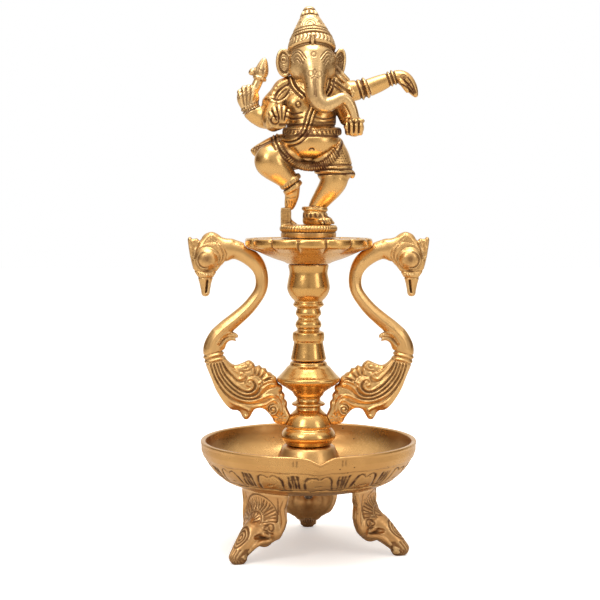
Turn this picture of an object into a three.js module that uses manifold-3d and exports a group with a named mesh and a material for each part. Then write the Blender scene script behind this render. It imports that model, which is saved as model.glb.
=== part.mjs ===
// A south Indian brass oil lamp: a three-footed oil bowl with a wick spout, a turned stem between two
// peacock brackets, a scalloped plate, and a dancing Ganesha on a round base at the top.
// Millimetres, +Z up, the front (the side that the figure faces) towards -Y.
// The origin is on the surface that the lamp stands on, on the axis of the stem.
import * as THREE from "three";
import { mergeVertices } from "three/addons/utils/BufferGeometryUtils.js";
import Module from "manifold-3d";

const wasm = await Module();
wasm.setup();

// Clearances
const SEAT_GAP = 0.3; // between two castings that are brazed or clamped together
const ROD_CLEARANCE = 0.35; // between the tie rod and the bores that it passes through

// Oil bowl
const BOWL_RADIUS = 53.7; // outside of the rim
const BOWL_HEIGHT = 22.3; // from the underside to the top of the rim
const BOWL_WALL = 2.2; // at the rim
const BOWL_FLOOR = 4.2; // thickness of the bowl's floor
const BOWL_UNDERSIDE_RADIUS = 33; // where the flat underside ends
const BOWL_LIP = 5.2; // height of the upright band under the rim
const BOSS_FOOT_RADIUS = 21; // hump in the middle of the bowl, at the floor
const BOSS_TOP_RADIUS = 12.3;
const BOSS_HEIGHT = 15; // above the bowl's floor
const SPOUT_ANGLE = 9; // degrees to the right of the front
const SPOUT_HALF_ANGLE = 12; // degrees
const SPOUT_DIP = 4.4; // how far the rim dips in the middle of the spout
const SPOUT_REACH = 2.6; // how far the spout stands out past the rim
const BOWL_SIDES = 40;
const BOWL_STEPS = 4; // steps on each curved stretch of its profile

// Feet
const FOOT_HEIGHT = 33; // from the ground to the underside of the bowl
const FOOT_ANGLES = { left: -46, right: 71, rear: 180 }; // degrees to the right of the front
const FOOT_RADIUS = 0.625 * BOWL_RADIUS; // outer face of a foot's shield, from the axis
const FOOT_WALL = 4.2;
const FOOT_WIDTH = 30; // of the shield
const TOE_REACH = FOOT_RADIUS + 15.4; // from the axis to the middle of the toe
const TOE_RADIUS = 4; // half the toe's width

// Turned stem. Each length is one section's height, and each radius is the named swell's.
const STEM_BASE_HEIGHT = 19.4;
const STEM_BASE_RADIUS = 13.6;
const STEM_BASE_SHOULDER_RADIUS = 11.3;
const STEM_BASE_NECK_RADIUS = 6.1;
const SAUCER_HEIGHT = 22.2;
const SAUCER_RADIUS = 15.9;
const SAUCER_NECK_RADIUS = 6;
const SAUCER_COLLAR_RADIUS = 8.5;
const SAUCER_LIP_RADIUS = 9.1;
const BALUSTER_HEIGHT = 48.3;
const BALUSTER_CONE_RADIUS = 8.8;
const BALUSTER_RING_RADIUS = 7.8;
const BALUSTER_BEAD_RADIUS = 6.6;
const BALUSTER_NECK_RADIUS = 4.9;
const BALUSTER_BULB_RADIUS = 10.7;
const BALUSTER_CAPITAL_RADIUS = 10.2;
const STEM_SIDES = 20;

// Scalloped plate
const PLATE_RADIUS = 32; // over the scallops
const PLATE_SCALLOPS = 14;
const PLATE_NOTCH = 1.3; // depth of the notch between two scallops
const PLATE_NOTCH_ANGLE = 15.9; // one of the notches, degrees to the right of the front
const PLATE_RIM = 5; // thickness at the rim
const PLATE_DISH = 7.6; // how far the underside drops from the rim to the stem
const PLATE_SIDES_PER_SCALLOP = 4;

// Tie rod, which clamps the stack from the bowl to the figure's base
const ROD_RADIUS = 2;
const NUT_ACROSS_FLATS = 8;
const NUT_HEIGHT = 4;
const WASHER_RADIUS = 7;
const WASHER_THICKNESS = 1.5;
const ROD_TAIL = 2; // how far the rod stands out under the nut
const ROD_GRIP = 3.6; // how far the rod reaches up into the figure's base

// Peacock brackets
const PEACOCK_THICKNESS = 6.4; // of the feathered body
const PEACOCK_BEVEL = 1.4;
const PEACOCK_NECK_RADIUS = 3.3;
const PEACOCK_HEAD_RADIUS = 6.4;
const PEACOCK_BEAK_LENGTH = 9.5;
const FEATHER_RADIUS = 1.1;

// Figure
const FIGURE_HEIGHT = 109; // from the top of its base to the tip of the crown
const FIGURE_BASE_RADIUS = 14.4;
const FIGURE_BASE_HEIGHT = 6.3;
const COIL_RADIUS = 1.75; // of the braided coil round the base's upper edge
const POST_WIDTH = 5.6; // the stump that carries the raised foot
const POST_DEPTH = 6;

// Heights of the stack, from the ground up
const bowlUnderside = FOOT_HEIGHT;
const bowlFloor = bowlUnderside + BOWL_FLOOR;
const bowlRim = bowlUnderside + BOWL_HEIGHT;
const bossTop = bowlFloor + BOSS_HEIGHT;
const stemBaseBottom = bossTop + SEAT_GAP;
const saucerBottom = stemBaseBottom + STEM_BASE_HEIGHT + SEAT_GAP;
const balusterBottom = saucerBottom + SAUCER_HEIGHT + SEAT_GAP;
const plateHub = balusterBottom + BALUSTER_HEIGHT + SEAT_GAP;
const plateRimBottom = plateHub + PLATE_DISH;
const plateTop = plateRimBottom + PLATE_RIM;
const figureBaseBottom = plateTop + SEAT_GAP;
const figureBaseTop = figureBaseBottom + FIGURE_BASE_HEIGHT;

const boreRadius = ROD_RADIUS + ROD_CLEARANCE;
const WELD = 1e-4; // vertices closer than this are one vertex
const CURVE_STEPS = 3; // steps on each curved stretch of a turned profile
const degrees = THREE.MathUtils.degToRad;
const at = (x, y, z) => new THREE.Vector3(x, y, z);

// Solids

// A closed solid from corner positions and triangles, with its faces turned outwards.
function solidFromTriangles(positions, triangles) {
  const a = at(0, 0, 0);
  const b = at(0, 0, 0);
  const c = at(0, 0, 0);
  let volume = 0;
  for (let i = 0; i < triangles.length; i += 3) {
    a.fromArray(positions, 3 * triangles[i]);
    b.fromArray(positions, 3 * triangles[i + 1]);
    c.fromArray(positions, 3 * triangles[i + 2]);
    volume += a.dot(b.cross(c));
  }
  const faces = Uint32Array.from(triangles);
  if (volume < 0) faces.reverse();
  const vertProperties = Float32Array.from(positions);
  return new wasm.Manifold(new wasm.Mesh({ numProp: 3, vertProperties, triVerts: faces }));
}

function solidFromGeometry(geometry) {
  const plain = geometry.clone();
  plain.deleteAttribute("normal");
  plain.deleteAttribute("uv");
  const merged = mergeVertices(plain, WELD);
  const index = merged.index.array;
  const kept = [];
  for (let i = 0; i < index.length; i += 3) {
    const [p, q, r] = [index[i], index[i + 1], index[i + 2]];
    if (p !== q && q !== r && r !== p) kept.push(p, q, r);
  }
  return solidFromTriangles(merged.attributes.position.array, kept);
}

const joined = (...solids) => solids.reduce((sum, solid) => sum.add(solid));
const cut = (solid, ...tools) => tools.reduce((rest, tool) => rest.subtract(tool), solid);

// A solid of revolution about +Z from a closed profile of (radius, height).
function turned(profile, sides = STEM_SIDES, steps = CURVE_STEPS) {
  const lathe = new THREE.LatheGeometry(profile.getPoints(Math.round(steps)), Math.round(sides));
  return solidFromGeometry(lathe.rotateX(Math.PI / 2));
}

// A solid skinned over rings of equal length, closed at each end by a fan to that ring's middle.
function skinned(rings) {
  const sides = rings[0].length;
  const positions = [];
  const triangles = [];
  for (const ring of rings) for (const point of ring) positions.push(point.x, point.y, point.z);
  for (let row = 0; row + 1 < rings.length; row++) {
    for (let side = 0; side < sides; side++) {
      const here = row * sides + side;
      const next = row * sides + ((side + 1) % sides);
      triangles.push(here, next, here + sides, next, next + sides, here + sides);
    }
  }
  const ends = [
    [rings[0], 0, 1],
    [rings.at(-1), (rings.length - 1) * sides, -1],
  ];
  for (const [ring, first, turn] of ends) {
    const middle = ring.reduce((sum, point) => sum.add(point), at(0, 0, 0)).divideScalar(sides);
    const centre = positions.length / 3;
    positions.push(middle.x, middle.y, middle.z);
    for (let side = 0; side < sides; side++) {
      const pair = [first + side, first + ((side + 1) % sides)];
      triangles.push(centre, ...(turn > 0 ? pair.reverse() : pair));
    }
  }
  return solidFromTriangles(positions, triangles);
}

// A rounded limb through stations of [x, y, z, radius]. Its section is an ellipse, whose half-axis
// along the side that faces `facing` is `flatness` times the radius. Domed ends close it. Each band
// is [share of the limb's length, half its width, height], a raised ring round the limb.
function limb(stations, options = {}) {
  const { sides = 8, steps = 2, facing = at(0, 1, 0), flatness = 1, domed = true, bands = [] } = options;
  const path = new THREE.CatmullRomCurve3(stations.map(([x, y, z]) => at(x, y, z)));
  const swell = new THREE.CatmullRomCurve3(stations.map((station) => at(station[3], 0, 0)));
  const count = steps * (stations.length - 1);
  const rings = [];
  const addRing = (share, { offset = 0, shrink = 1, raise = 0 } = {}) => {
    const tangent = path.getTangent(share);
    const radius = swell.getPoint(share).x;
    const across = tangent.clone().cross(facing).normalize();
    const through = across.clone().cross(tangent).normalize();
    const centre = path.getPoint(share).addScaledVector(tangent, offset * radius);
    const ring = [];
    for (let side = 0; side < sides; side++) {
      const turn = (2 * Math.PI * side) / sides;
      const reach = shrink * radius + raise;
      const point = centre.clone().addScaledVector(across, reach * Math.cos(turn));
      ring.push(point.addScaledVector(through, reach * flatness * Math.sin(turn)));
    }
    rings.push(ring);
  };
  const dome = degrees(55);
  const inBand = (share) => bands.some(([middle, half]) => Math.abs(share - middle) <= half);
  const stops = Array.from({ length: count + 1 }, (_, step) => [step / count, 0]);
  const kept = stops.filter(([share]) => !inBand(share));
  for (const [middle, half, height] of bands) {
    kept.push([middle - half, 0], [middle - 0.7 * half, height], [middle + 0.7 * half, height], [middle + half, 0]);
  }
  kept.sort((first, second) => first[0] - second[0]);
  if (domed) addRing(0, { offset: -Math.sin(dome), shrink: Math.cos(dome) });
  for (const [share, raise] of kept) addRing(share, { raise });
  if (domed) addRing(1, { offset: Math.sin(dome), shrink: Math.cos(dome) });
  return skinned(rings);
}

// An ellipsoid, turned about Y by `roll` degrees.
function ball([x, y, z], [rx, ry, rz], { sides = 12, rows = 8, roll = 0 } = {}) {
  const sphere = new THREE.SphereGeometry(1, sides, rows).rotateX(Math.PI / 2);
  sphere.scale(rx, ry, rz).rotateY(degrees(roll)).translate(x, y, z);
  return solidFromGeometry(sphere);
}

function block([x, y, z], [width, depth, height]) {
  return solidFromGeometry(new THREE.BoxGeometry(width, depth, height).translate(x, y, z + height / 2));
}

// Everything below a height, for trimming a casting flat.
const below = (z) => block([0, 0, z - BOWL_RADIUS], [4 * BOWL_RADIUS, 4 * BOWL_RADIUS, BOWL_RADIUS]);

const brass = new THREE.MeshStandardMaterial({ color: 0xd9a441, roughness: 0.32, metalness: 1 });
const darkBrass = new THREE.MeshStandardMaterial({ color: 0xb8873a, roughness: 0.42, metalness: 1 });
const steel = new THREE.MeshStandardMaterial({ color: 0x9a9890, roughness: 0.4, metalness: 1 });

function piece(name, solid, material = brass) {
  const { vertProperties, triVerts, numProp, numVert } = solid.getMesh();
  const positions = new Float32Array(3 * numVert);
  for (let i = 0; i < numVert; i++) positions.set(vertProperties.subarray(i * numProp, i * numProp + 3), 3 * i);
  const geometry = new THREE.BufferGeometry();
  geometry.setAttribute("position", new THREE.BufferAttribute(positions, 3));
  geometry.setIndex(new THREE.BufferAttribute(triVerts, 1));
  const mesh = new THREE.Mesh(geometry, material);
  mesh.name = name;
  return mesh;
}

// Oil bowl

// The bowl's outer face from the underside to the rim, moved out by `grow`.
function bowlOuter(profile, grow = 0) {
  const rimRadius = BOWL_RADIUS + grow;
  const lipBottom = bowlRim - BOWL_LIP;
  const under = bowlUnderside - grow;
  profile.lineTo(BOWL_UNDERSIDE_RADIUS, under);
  profile.bezierCurveTo(
    BOWL_UNDERSIDE_RADIUS + 0.4 * (rimRadius - BOWL_UNDERSIDE_RADIUS),
    under + 0.15 * (lipBottom - under),
    BOWL_UNDERSIDE_RADIUS + 0.9 * (rimRadius - BOWL_UNDERSIDE_RADIUS),
    under + 0.6 * (lipBottom - under),
    rimRadius,
    lipBottom,
  );
  profile.lineTo(rimRadius, bowlRim - 0.5);
}

function oilBowl() {
  const rimInside = BOWL_RADIUS - BOWL_WALL;
  const profile = new THREE.Path();
  profile.moveTo(boreRadius, bowlUnderside);
  bowlOuter(profile);
  profile.lineTo(BOWL_RADIUS - 0.5, bowlRim);
  profile.lineTo(rimInside + 0.4, bowlRim);
  profile.lineTo(rimInside, bowlRim - 0.4);
  profile.bezierCurveTo(
    rimInside - 2.5,
    bowlFloor + 0.35 * (bowlRim - bowlFloor),
    0.7 * rimInside,
    bowlFloor,
    BOSS_FOOT_RADIUS + 3,
    bowlFloor,
  );
  profile.lineTo(BOSS_FOOT_RADIUS, bowlFloor);
  profile.bezierCurveTo(
    BOSS_TOP_RADIUS + 0.6 * (BOSS_FOOT_RADIUS - BOSS_TOP_RADIUS),
    bowlFloor + 0.25 * BOSS_HEIGHT,
    BOSS_TOP_RADIUS + 0.5 * (BOSS_FOOT_RADIUS - BOSS_TOP_RADIUS),
    bowlFloor + 0.75 * BOSS_HEIGHT,
    BOSS_TOP_RADIUS,
    bossTop,
  );
  profile.lineTo(boreRadius, bossTop);
  profile.lineTo(boreRadius, bowlUnderside);

  // The lathe's first meridian is turned to the spout, whose V is then pressed into the rim.
  const lathe = new THREE.LatheGeometry(profile.getPoints(Math.round(BOWL_STEPS)), Math.round(BOWL_SIDES));
  lathe.rotateX(Math.PI / 2).rotateZ(degrees(SPOUT_ANGLE));
  const position = lathe.attributes.position;
  const wallTop = bowlRim - bowlFloor;
  for (let i = 0; i < position.count; i++) {
    const [x, y, z] = [position.getX(i), position.getY(i), position.getZ(i)];
    const radius = Math.hypot(x, y);
    const angle = THREE.MathUtils.radToDeg(Math.atan2(x, -y)) - SPOUT_ANGLE;
    const press = Math.max(0, 1 - Math.abs(angle) / SPOUT_HALF_ANGLE);
    const height = THREE.MathUtils.clamp((z - bowlFloor) / wallTop, 0, 1);
    const share = radius > BOSS_FOOT_RADIUS ? press * height ** 2 : 0;
    const reach = 1 + (share * SPOUT_REACH) / radius;
    position.setXYZ(i, x * reach, y * reach, z - share * SPOUT_DIP);
  }
  return solidFromGeometry(lathe);
}

// Feet

// The bowl with a seat gap round it, which the feet are cut to.
function bowlSeat() {
  const profile = new THREE.Path();
  profile.moveTo(0, bowlUnderside - SEAT_GAP);
  bowlOuter(profile, SEAT_GAP);
  profile.lineTo(0, bowlRim);
  profile.lineTo(0, bowlUnderside - SEAT_GAP);
  return turned(profile, BOWL_SIDES, BOWL_STEPS);
}

// One foot, pointing along +X: a shield that follows the bowl's round underside, hollow behind, with
// a beast's snout running out of it down to the toe.
function footCasting() {
  const seatHeight = FOOT_HEIGHT + 4; // reaches into the bowl, and is cut to it
  // Height as a share of the foot's, and half the shield's width as a share of the widest
  const outline = [
    [0.26, 0.3],
    [0.3, 0.62],
    [0.38, 0.86],
    [0.52, 0.98],
    [0.7, 0.94],
    [0.86, 1],
    [seatHeight / FOOT_HEIGHT, 1.2],
  ];
  const columns = 4;
  const rings = outline.map(([rise, share]) => {
    const z = rise * FOOT_HEIGHT;
    const flare = 1.8 * Math.max(0, rise - 0.86);
    const ring = [];
    for (const [radius, direction] of [
      [FOOT_RADIUS + flare, 1],
      [FOOT_RADIUS + flare - FOOT_WALL, -1],
    ]) {
      const halfAngle = Math.asin((share * FOOT_WIDTH) / 2 / FOOT_RADIUS);
      for (let column = 0; column <= columns; column++) {
        const angle = direction * halfAngle * ((2 * column) / columns - 1);
        ring.push(at(radius * Math.cos(angle), radius * Math.sin(angle), z));
      }
    }
    return ring;
  });
  const root = FOOT_RADIUS - 0.5 * FOOT_WALL;
  const run = TOE_REACH - root;
  const snout = limb(
    [
      [root - 1.5, 0, 0.53 * FOOT_HEIGHT, 1.5 * TOE_RADIUS],
      [root + 0.3 * run, 0, 0.42 * FOOT_HEIGHT, 1.55 * TOE_RADIUS],
      [root + 0.65 * run, 0, 0.26 * FOOT_HEIGHT, 1.3 * TOE_RADIUS],
      [TOE_REACH, 0, 0.75 * TOE_RADIUS, TOE_RADIUS],
    ],
    { sides: 8, steps: 2, flatness: 1.15 },
  );
  const jaw = ball([root + 0.12 * run, 0, 0.31 * FOOT_HEIGHT], [5, 5.4, 3.8], { sides: 8, rows: 5 });
  const cheeks = [-1, 1].map((side) =>
    ball([root + 0.6, side * 0.4 * FOOT_WIDTH, 0.36 * FOOT_HEIGHT], [2.6, 2.6, 3.4], { sides: 6, rows: 4 }),
  );
  return cut(joined(skinned(rings), snout, jaw, ...cheeks), below(0));
}

function foot(name, azimuth, seat) {
  const turn = new THREE.Matrix4().makeRotationZ(degrees(azimuth - 90));
  const mesh = piece(name, footCasting());
  mesh.geometry.applyMatrix4(turn);
  return piece(name, cut(solidFromGeometry(mesh.geometry), seat));
}

// Turned stem

// One round swell of a turned profile, from where the profile is now up to `top` at `radius`.
function bead(profile, swell, radius, bottom, top) {
  profile.bezierCurveTo(swell, bottom + 0.1 * (top - bottom), swell, top - 0.1 * (top - bottom), radius, top);
}

// `grow` moves the outer face out, for cutting the brackets that touch it.
function stemBase(grow = 0) {
  const z = (share) => stemBaseBottom + share * STEM_BASE_HEIGHT;
  const profile = new THREE.Path();
  profile.moveTo(boreRadius, z(0));
  profile.lineTo(0.85 * STEM_BASE_RADIUS + grow, z(0));
  profile.lineTo(0.9 * STEM_BASE_RADIUS + grow, z(0.1));
  bead(profile, 1.03 * STEM_BASE_RADIUS + grow, 0.93 * STEM_BASE_RADIUS + grow, z(0.1), z(0.36));
  profile.lineTo(0.97 * STEM_BASE_SHOULDER_RADIUS + grow, z(0.44));
  bead(profile, 1.12 * STEM_BASE_SHOULDER_RADIUS + grow, STEM_BASE_SHOULDER_RADIUS + grow, z(0.44), z(0.56));
  profile.bezierCurveTo(
    0.86 * STEM_BASE_SHOULDER_RADIUS + grow,
    z(0.78),
    0.74 * STEM_BASE_SHOULDER_RADIUS + grow,
    z(0.86),
    STEM_BASE_NECK_RADIUS + grow,
    z(0.94),
  );
  profile.lineTo(STEM_BASE_NECK_RADIUS + grow, z(1));
  profile.lineTo(boreRadius, z(1));
  profile.lineTo(boreRadius, z(0));
  return turned(profile);
}

function stemSaucer(grow = 0) {
  const z = (share) => saucerBottom + share * SAUCER_HEIGHT;
  const profile = new THREE.Path();
  profile.moveTo(boreRadius, z(0));
  profile.lineTo(SAUCER_COLLAR_RADIUS - 0.6 + grow, z(0));
  profile.lineTo(SAUCER_COLLAR_RADIUS + grow, z(0.03));
  profile.lineTo(SAUCER_COLLAR_RADIUS + grow, z(0.06));
  profile.lineTo(SAUCER_NECK_RADIUS + grow, z(0.1));
  profile.lineTo(SAUCER_NECK_RADIUS + grow, z(0.22));
  profile.lineTo(SAUCER_NECK_RADIUS + 1.4 + grow, z(0.26));
  profile.lineTo(SAUCER_NECK_RADIUS + 1.4 + grow, z(0.32));
  profile.quadraticCurveTo(0.75 * SAUCER_RADIUS + grow, z(0.4), SAUCER_RADIUS + grow, z(0.6));
  profile.lineTo(SAUCER_RADIUS + grow, z(0.66));
  profile.quadraticCurveTo(0.86 * SAUCER_RADIUS + grow, z(0.83), SAUCER_LIP_RADIUS + 1 + grow, z(0.92));
  profile.lineTo(SAUCER_LIP_RADIUS + grow, z(1));
  profile.lineTo(boreRadius, z(1));
  profile.lineTo(boreRadius, z(0));
  return turned(profile);
}

function stemBaluster() {
  const z = (share) => balusterBottom + share * BALUSTER_HEIGHT;
  const profile = new THREE.Path();
  profile.moveTo(boreRadius, z(0));
  profile.lineTo(BALUSTER_CONE_RADIUS - 0.6, z(0));
  profile.lineTo(BALUSTER_CONE_RADIUS, z(0.03));
  profile.lineTo(0.82 * BALUSTER_CONE_RADIUS, z(0.2));
  profile.lineTo(BALUSTER_RING_RADIUS, z(0.21));
  bead(profile, BALUSTER_RING_RADIUS + 0.3, BALUSTER_RING_RADIUS - 0.2, z(0.21), z(0.3));
  profile.lineTo(BALUSTER_NECK_RADIUS + 0.4, z(0.325));
  for (const bottom of [0.325, 0.45]) {
    bead(profile, 1.35 * BALUSTER_BEAD_RADIUS, BALUSTER_NECK_RADIUS + 0.2, z(bottom), z(bottom + 0.105));
    profile.lineTo(BALUSTER_NECK_RADIUS + 0.2, z(bottom + 0.125));
  }
  profile.lineTo(BALUSTER_RING_RADIUS - 0.2, z(0.595));
  profile.lineTo(BALUSTER_RING_RADIUS - 0.2, z(0.625));
  profile.bezierCurveTo(
    BALUSTER_BULB_RADIUS,
    z(0.66),
    1.04 * BALUSTER_BULB_RADIUS,
    z(0.77),
    0.96 * BALUSTER_BULB_RADIUS,
    z(0.82),
  );
  profile.quadraticCurveTo(0.86 * BALUSTER_BULB_RADIUS, z(0.9), 0.95 * BALUSTER_CAPITAL_RADIUS, z(0.96));
  profile.lineTo(BALUSTER_CAPITAL_RADIUS, z(0.985));
  profile.lineTo(BALUSTER_CAPITAL_RADIUS, z(1));
  profile.lineTo(boreRadius, z(1));
  profile.lineTo(boreRadius, z(0));
  return turned(profile);
}

// Scalloped plate. `grow` moves its outer faces out, for cutting the brackets that touch it.
function topPlate(grow = 0) {
  const sides = Math.round(PLATE_SCALLOPS * PLATE_SIDES_PER_SCALLOP);
  const ringOf = (radius, z, notch) => {
    const ring = [];
    for (let side = 0; side < sides; side++) {
      const turn = (2 * Math.PI * side) / sides;
      const arch = Math.abs(Math.sin((turn * PLATE_SCALLOPS) / 2)) ** 0.5;
      const reach = radius - notch * (1 - arch);
      const angle = turn + degrees(PLATE_NOTCH_ANGLE);
      ring.push(at(reach * Math.sin(angle), -reach * Math.cos(angle), z));
    }
    return ring;
  };
  const rimRadius = PLATE_RADIUS + grow;
  return cut(
    skinned([
      ringOf(BALUSTER_CAPITAL_RADIUS + 0.6 + grow, plateHub - grow, 0),
      ringOf(0.64 * rimRadius, plateHub + 0.42 * PLATE_DISH - grow, 0),
      ringOf(0.93 * rimRadius, plateRimBottom - grow, PLATE_NOTCH),
      ringOf(rimRadius, plateRimBottom + 0.3 * PLATE_RIM - grow, PLATE_NOTCH),
      ringOf(rimRadius, plateTop - 0.6 + grow, PLATE_NOTCH),
      ringOf(rimRadius - 0.7, plateTop + grow, PLATE_NOTCH),
    ]),
    rodHole(plateHub - 1, plateTop + 1),
  );
}

function rodHole(bottom, top) {
  const hole = new THREE.CylinderGeometry(boreRadius, boreRadius, top - bottom, 16).rotateX(Math.PI / 2);
  return solidFromGeometry(hole.translate(0, 0, (bottom + top) / 2));
}

// Tie rod, washer and nut
const washerTop = bowlUnderside - SEAT_GAP;
const nutTop = washerTop - WASHER_THICKNESS - SEAT_GAP;
const rodBottom = nutTop - NUT_HEIGHT - ROD_TAIL;
const rodTop = figureBaseBottom + ROD_GRIP;

function tieRod() {
  const profile = new THREE.Path();
  profile.moveTo(0, rodBottom);
  profile.lineTo(ROD_RADIUS - 0.5, rodBottom);
  profile.lineTo(ROD_RADIUS, rodBottom + 0.5);
  profile.lineTo(ROD_RADIUS, rodTop - 0.5);
  profile.lineTo(ROD_RADIUS - 0.5, rodTop);
  profile.lineTo(0, rodTop);
  return turned(profile, 16);
}

function collar(radius, sides, bottom, top) {
  const ring = new THREE.CylinderGeometry(radius, radius, top - bottom, sides).rotateX(Math.PI / 2);
  return cut(solidFromGeometry(ring.translate(0, 0, (bottom + top) / 2)), rodHole(bottom - 1, top + 1));
}

// Peacock brackets, drawn in the plane of the stem's axis: x is the distance from the axis.
// The three places where a bracket touches the lamp are the plate's rim, the saucer's edge and the
// stem's base, so each bracket's points are placed from those.
const birdCheek = 51; // distance of the bird's head from the axis
const birdHeadZ = plateRimBottom - 5;
const birdBodyTop = saucerBottom + 24;

function peacockOutline() {
  const foot = STEM_BASE_RADIUS - 1.5;
  const footZ = stemBaseBottom + 9.5;
  const touch = SAUCER_RADIUS;
  const touchZ = saucerBottom + 0.63 * SAUCER_HEIGHT;
  const shape = new THREE.Shape();
  shape.moveTo(53.4, birdBodyTop + 4);
  shape.bezierCurveTo(53.6, birdBodyTop - 9, 49, birdBodyTop - 20, 40.5, birdBodyTop - 26.5);
  shape.lineTo(36, birdBodyTop - 27);
  shape.lineTo(33.6, birdBodyTop - 31.2);
  shape.lineTo(31, birdBodyTop - 31.2);
  shape.lineTo(28.6, birdBodyTop - 26.6);
  shape.quadraticCurveTo(24, birdBodyTop - 24, 20.5, footZ + 7);
  shape.lineTo(15.6, footZ);
  shape.lineTo(foot - 2.5, footZ + 0.6);
  shape.lineTo(foot - 3.5, footZ + 7.5);
  shape.quadraticCurveTo(foot + 1, footZ + 10, foot + 2.2, footZ + 15);
  shape.lineTo(touch - 1, touchZ - 2.4);
  shape.lineTo(touch - 0.4, touchZ + 0.4);
  shape.quadraticCurveTo(touch + 5, touchZ + 5.2, touch + 11.2, touchZ + 6.6);
  shape.quadraticCurveTo(touch + 13.5, touchZ + 10.2, 33, birdBodyTop - 2.2);
  shape.quadraticCurveTo(41, birdBodyTop - 5.5, 44.6, birdBodyTop + 4);
  return shape;
}

function peacock(name, side) {
  const mirror = (stations) => stations.map(([x, y, z, radius]) => [side * x, y, z, radius]);
  const slab = new THREE.ExtrudeGeometry(peacockOutline(), {
    depth: PEACOCK_THICKNESS - 2 * PEACOCK_BEVEL,
    bevelThickness: PEACOCK_BEVEL,
    bevelSize: PEACOCK_BEVEL,
    bevelOffset: -PEACOCK_BEVEL,
    bevelSegments: 1,
    curveSegments: 4,
  });
  slab.translate(0, 0, -(PEACOCK_THICKNESS - 2 * PEACOCK_BEVEL) / 2).rotateX(Math.PI / 2);
  slab.scale(side, 1, 1);
  const archOut = PLATE_RADIUS - 5.5;
  const r = PEACOCK_NECK_RADIUS;
  const neck = limb(
    mirror([
      [birdCheek - 2, 0, birdHeadZ + 3, 1.35 * r],
      [birdCheek - 8, 0, birdHeadZ + 6.4, 1.35 * r],
      [archOut + 8.6, 0, birdHeadZ + 5.6, 1.25 * r],
      [archOut + 2.6, 0, birdHeadZ + 1, 1.1 * r],
      [archOut - 0.4, 0, birdHeadZ - 8, r],
      [archOut + 1.5, 0, birdHeadZ - 19, r],
      [archOut + 9, 0, birdHeadZ - 27.5, 1.03 * r],
      [archOut + 18, 0, birdHeadZ - 34, 1.15 * r],
      [48.6, 0, birdBodyTop + 9, 1.35 * r],
      [49, 0, birdBodyTop + 1, 1.4 * r],
    ]),
    { sides: 8, steps: 2 },
  );
  const head = ball([side * birdCheek, 0, birdHeadZ], [0.92 * PEACOCK_HEAD_RADIUS, 5, PEACOCK_HEAD_RADIUS], {
    sides: 8,
    rows: 6,
  });
  const beakRoot = birdHeadZ - 0.8 * PEACOCK_HEAD_RADIUS;
  const beak = limb(
    mirror([
      [birdCheek + 0.8, 0, beakRoot + 1, 3.6],
      [birdCheek + 0.7, 0, beakRoot - 0.4 * PEACOCK_BEAK_LENGTH, 2.5],
      [birdCheek + 0.5, 0, beakRoot - PEACOCK_BEAK_LENGTH, 1.5],
    ]),
    { sides: 6, steps: 1 },
  );
  const crestOut = birdCheek + 7.6;
  const crest = limb(
    mirror([
      [crestOut, 0, birdHeadZ + 9.2, 1.6],
      [crestOut - 0.6, 0, birdHeadZ + 3, 2.2],
      [crestOut - 3.2, 0, birdHeadZ - 5, 2],
    ]),
    { sides: 6, steps: 2, flatness: 1.4 },
  );
  const crown = limb(
    mirror([
      [birdCheek - 3.5, 0, birdHeadZ + 11, 1.6],
      [birdCheek - 1.5, 0, birdHeadZ + 5, 3.4],
    ]),
    { sides: 6, steps: 1 },
  );
  const curl = limb(
    mirror([
      [45.6, 0, birdBodyTop + 8.5, 1.6],
      [41.4, 0, birdBodyTop + 13.2, 1.5],
      [38, 0, birdBodyTop + 12.6, 1.4],
      [38.3, 0, birdBodyTop + 10.4, 1.3],
    ]),
    { sides: 6, steps: 2 },
  );
  const foot = [STEM_BASE_RADIUS + 1.4, stemBaseBottom + 14];
  // Plumes: each is one rib that stands out on both faces, and starts nearer the inner edge
  const feathers = [0, 1, 2].map((row) => {
    const sink = 2.4 * row;
    return limb(
      mirror([
        [51.4 - sink, 0, birdBodyTop + 1, 0.7 * FEATHER_RADIUS],
        [49.4 - 1.6 * sink, 0, birdBodyTop - 10 + 0.6 * sink, FEATHER_RADIUS],
        [42.5 - 1.5 * sink, 0, birdBodyTop - 19.5 + 1.6 * sink, FEATHER_RADIUS],
        [32 - 0.5 * sink, 0, birdBodyTop - 22.6 + 1.9 * sink, FEATHER_RADIUS],
        [foot[0] + 6 - 0.2 * sink, 0, foot[1] + 5 + 1.5 * sink, 0.7 * FEATHER_RADIUS],
      ]),
      { sides: 4, steps: 2, flatness: (PEACOCK_THICKNESS / 2 + 0.8) / FEATHER_RADIUS, domed: false },
    );
  });
  const casting = joined(solidFromGeometry(slab), neck, head, beak, crest, crown, curl, ...feathers);
  return piece(name, cut(casting, topPlate(SEAT_GAP), stemSaucer(SEAT_GAP), stemBase(SEAT_GAP)));
}

// Figure. Its castings are drawn from the top of the base up, at their real size for this height:
const FIGURE_DRAWN_HEIGHT = 109;
const figureScale = FIGURE_HEIGHT / FIGURE_DRAWN_HEIGHT;

// Where the toes of the raised foot come down on the base's stump
const TOES = { x: -9.6, y: -2.4, z: 8.9 };
// Bands that hide the joints of the two separately cast arms
const ARMLET = { x: 29.6, y: 4, z: 68.4 };
const BRACELET = { x: -28.2, y: 2.2, z: 56.6 };
const armDirection = at(0.94, 0, 0.33);
const handDirection = at(-0.42, 0, 0.9);

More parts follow.
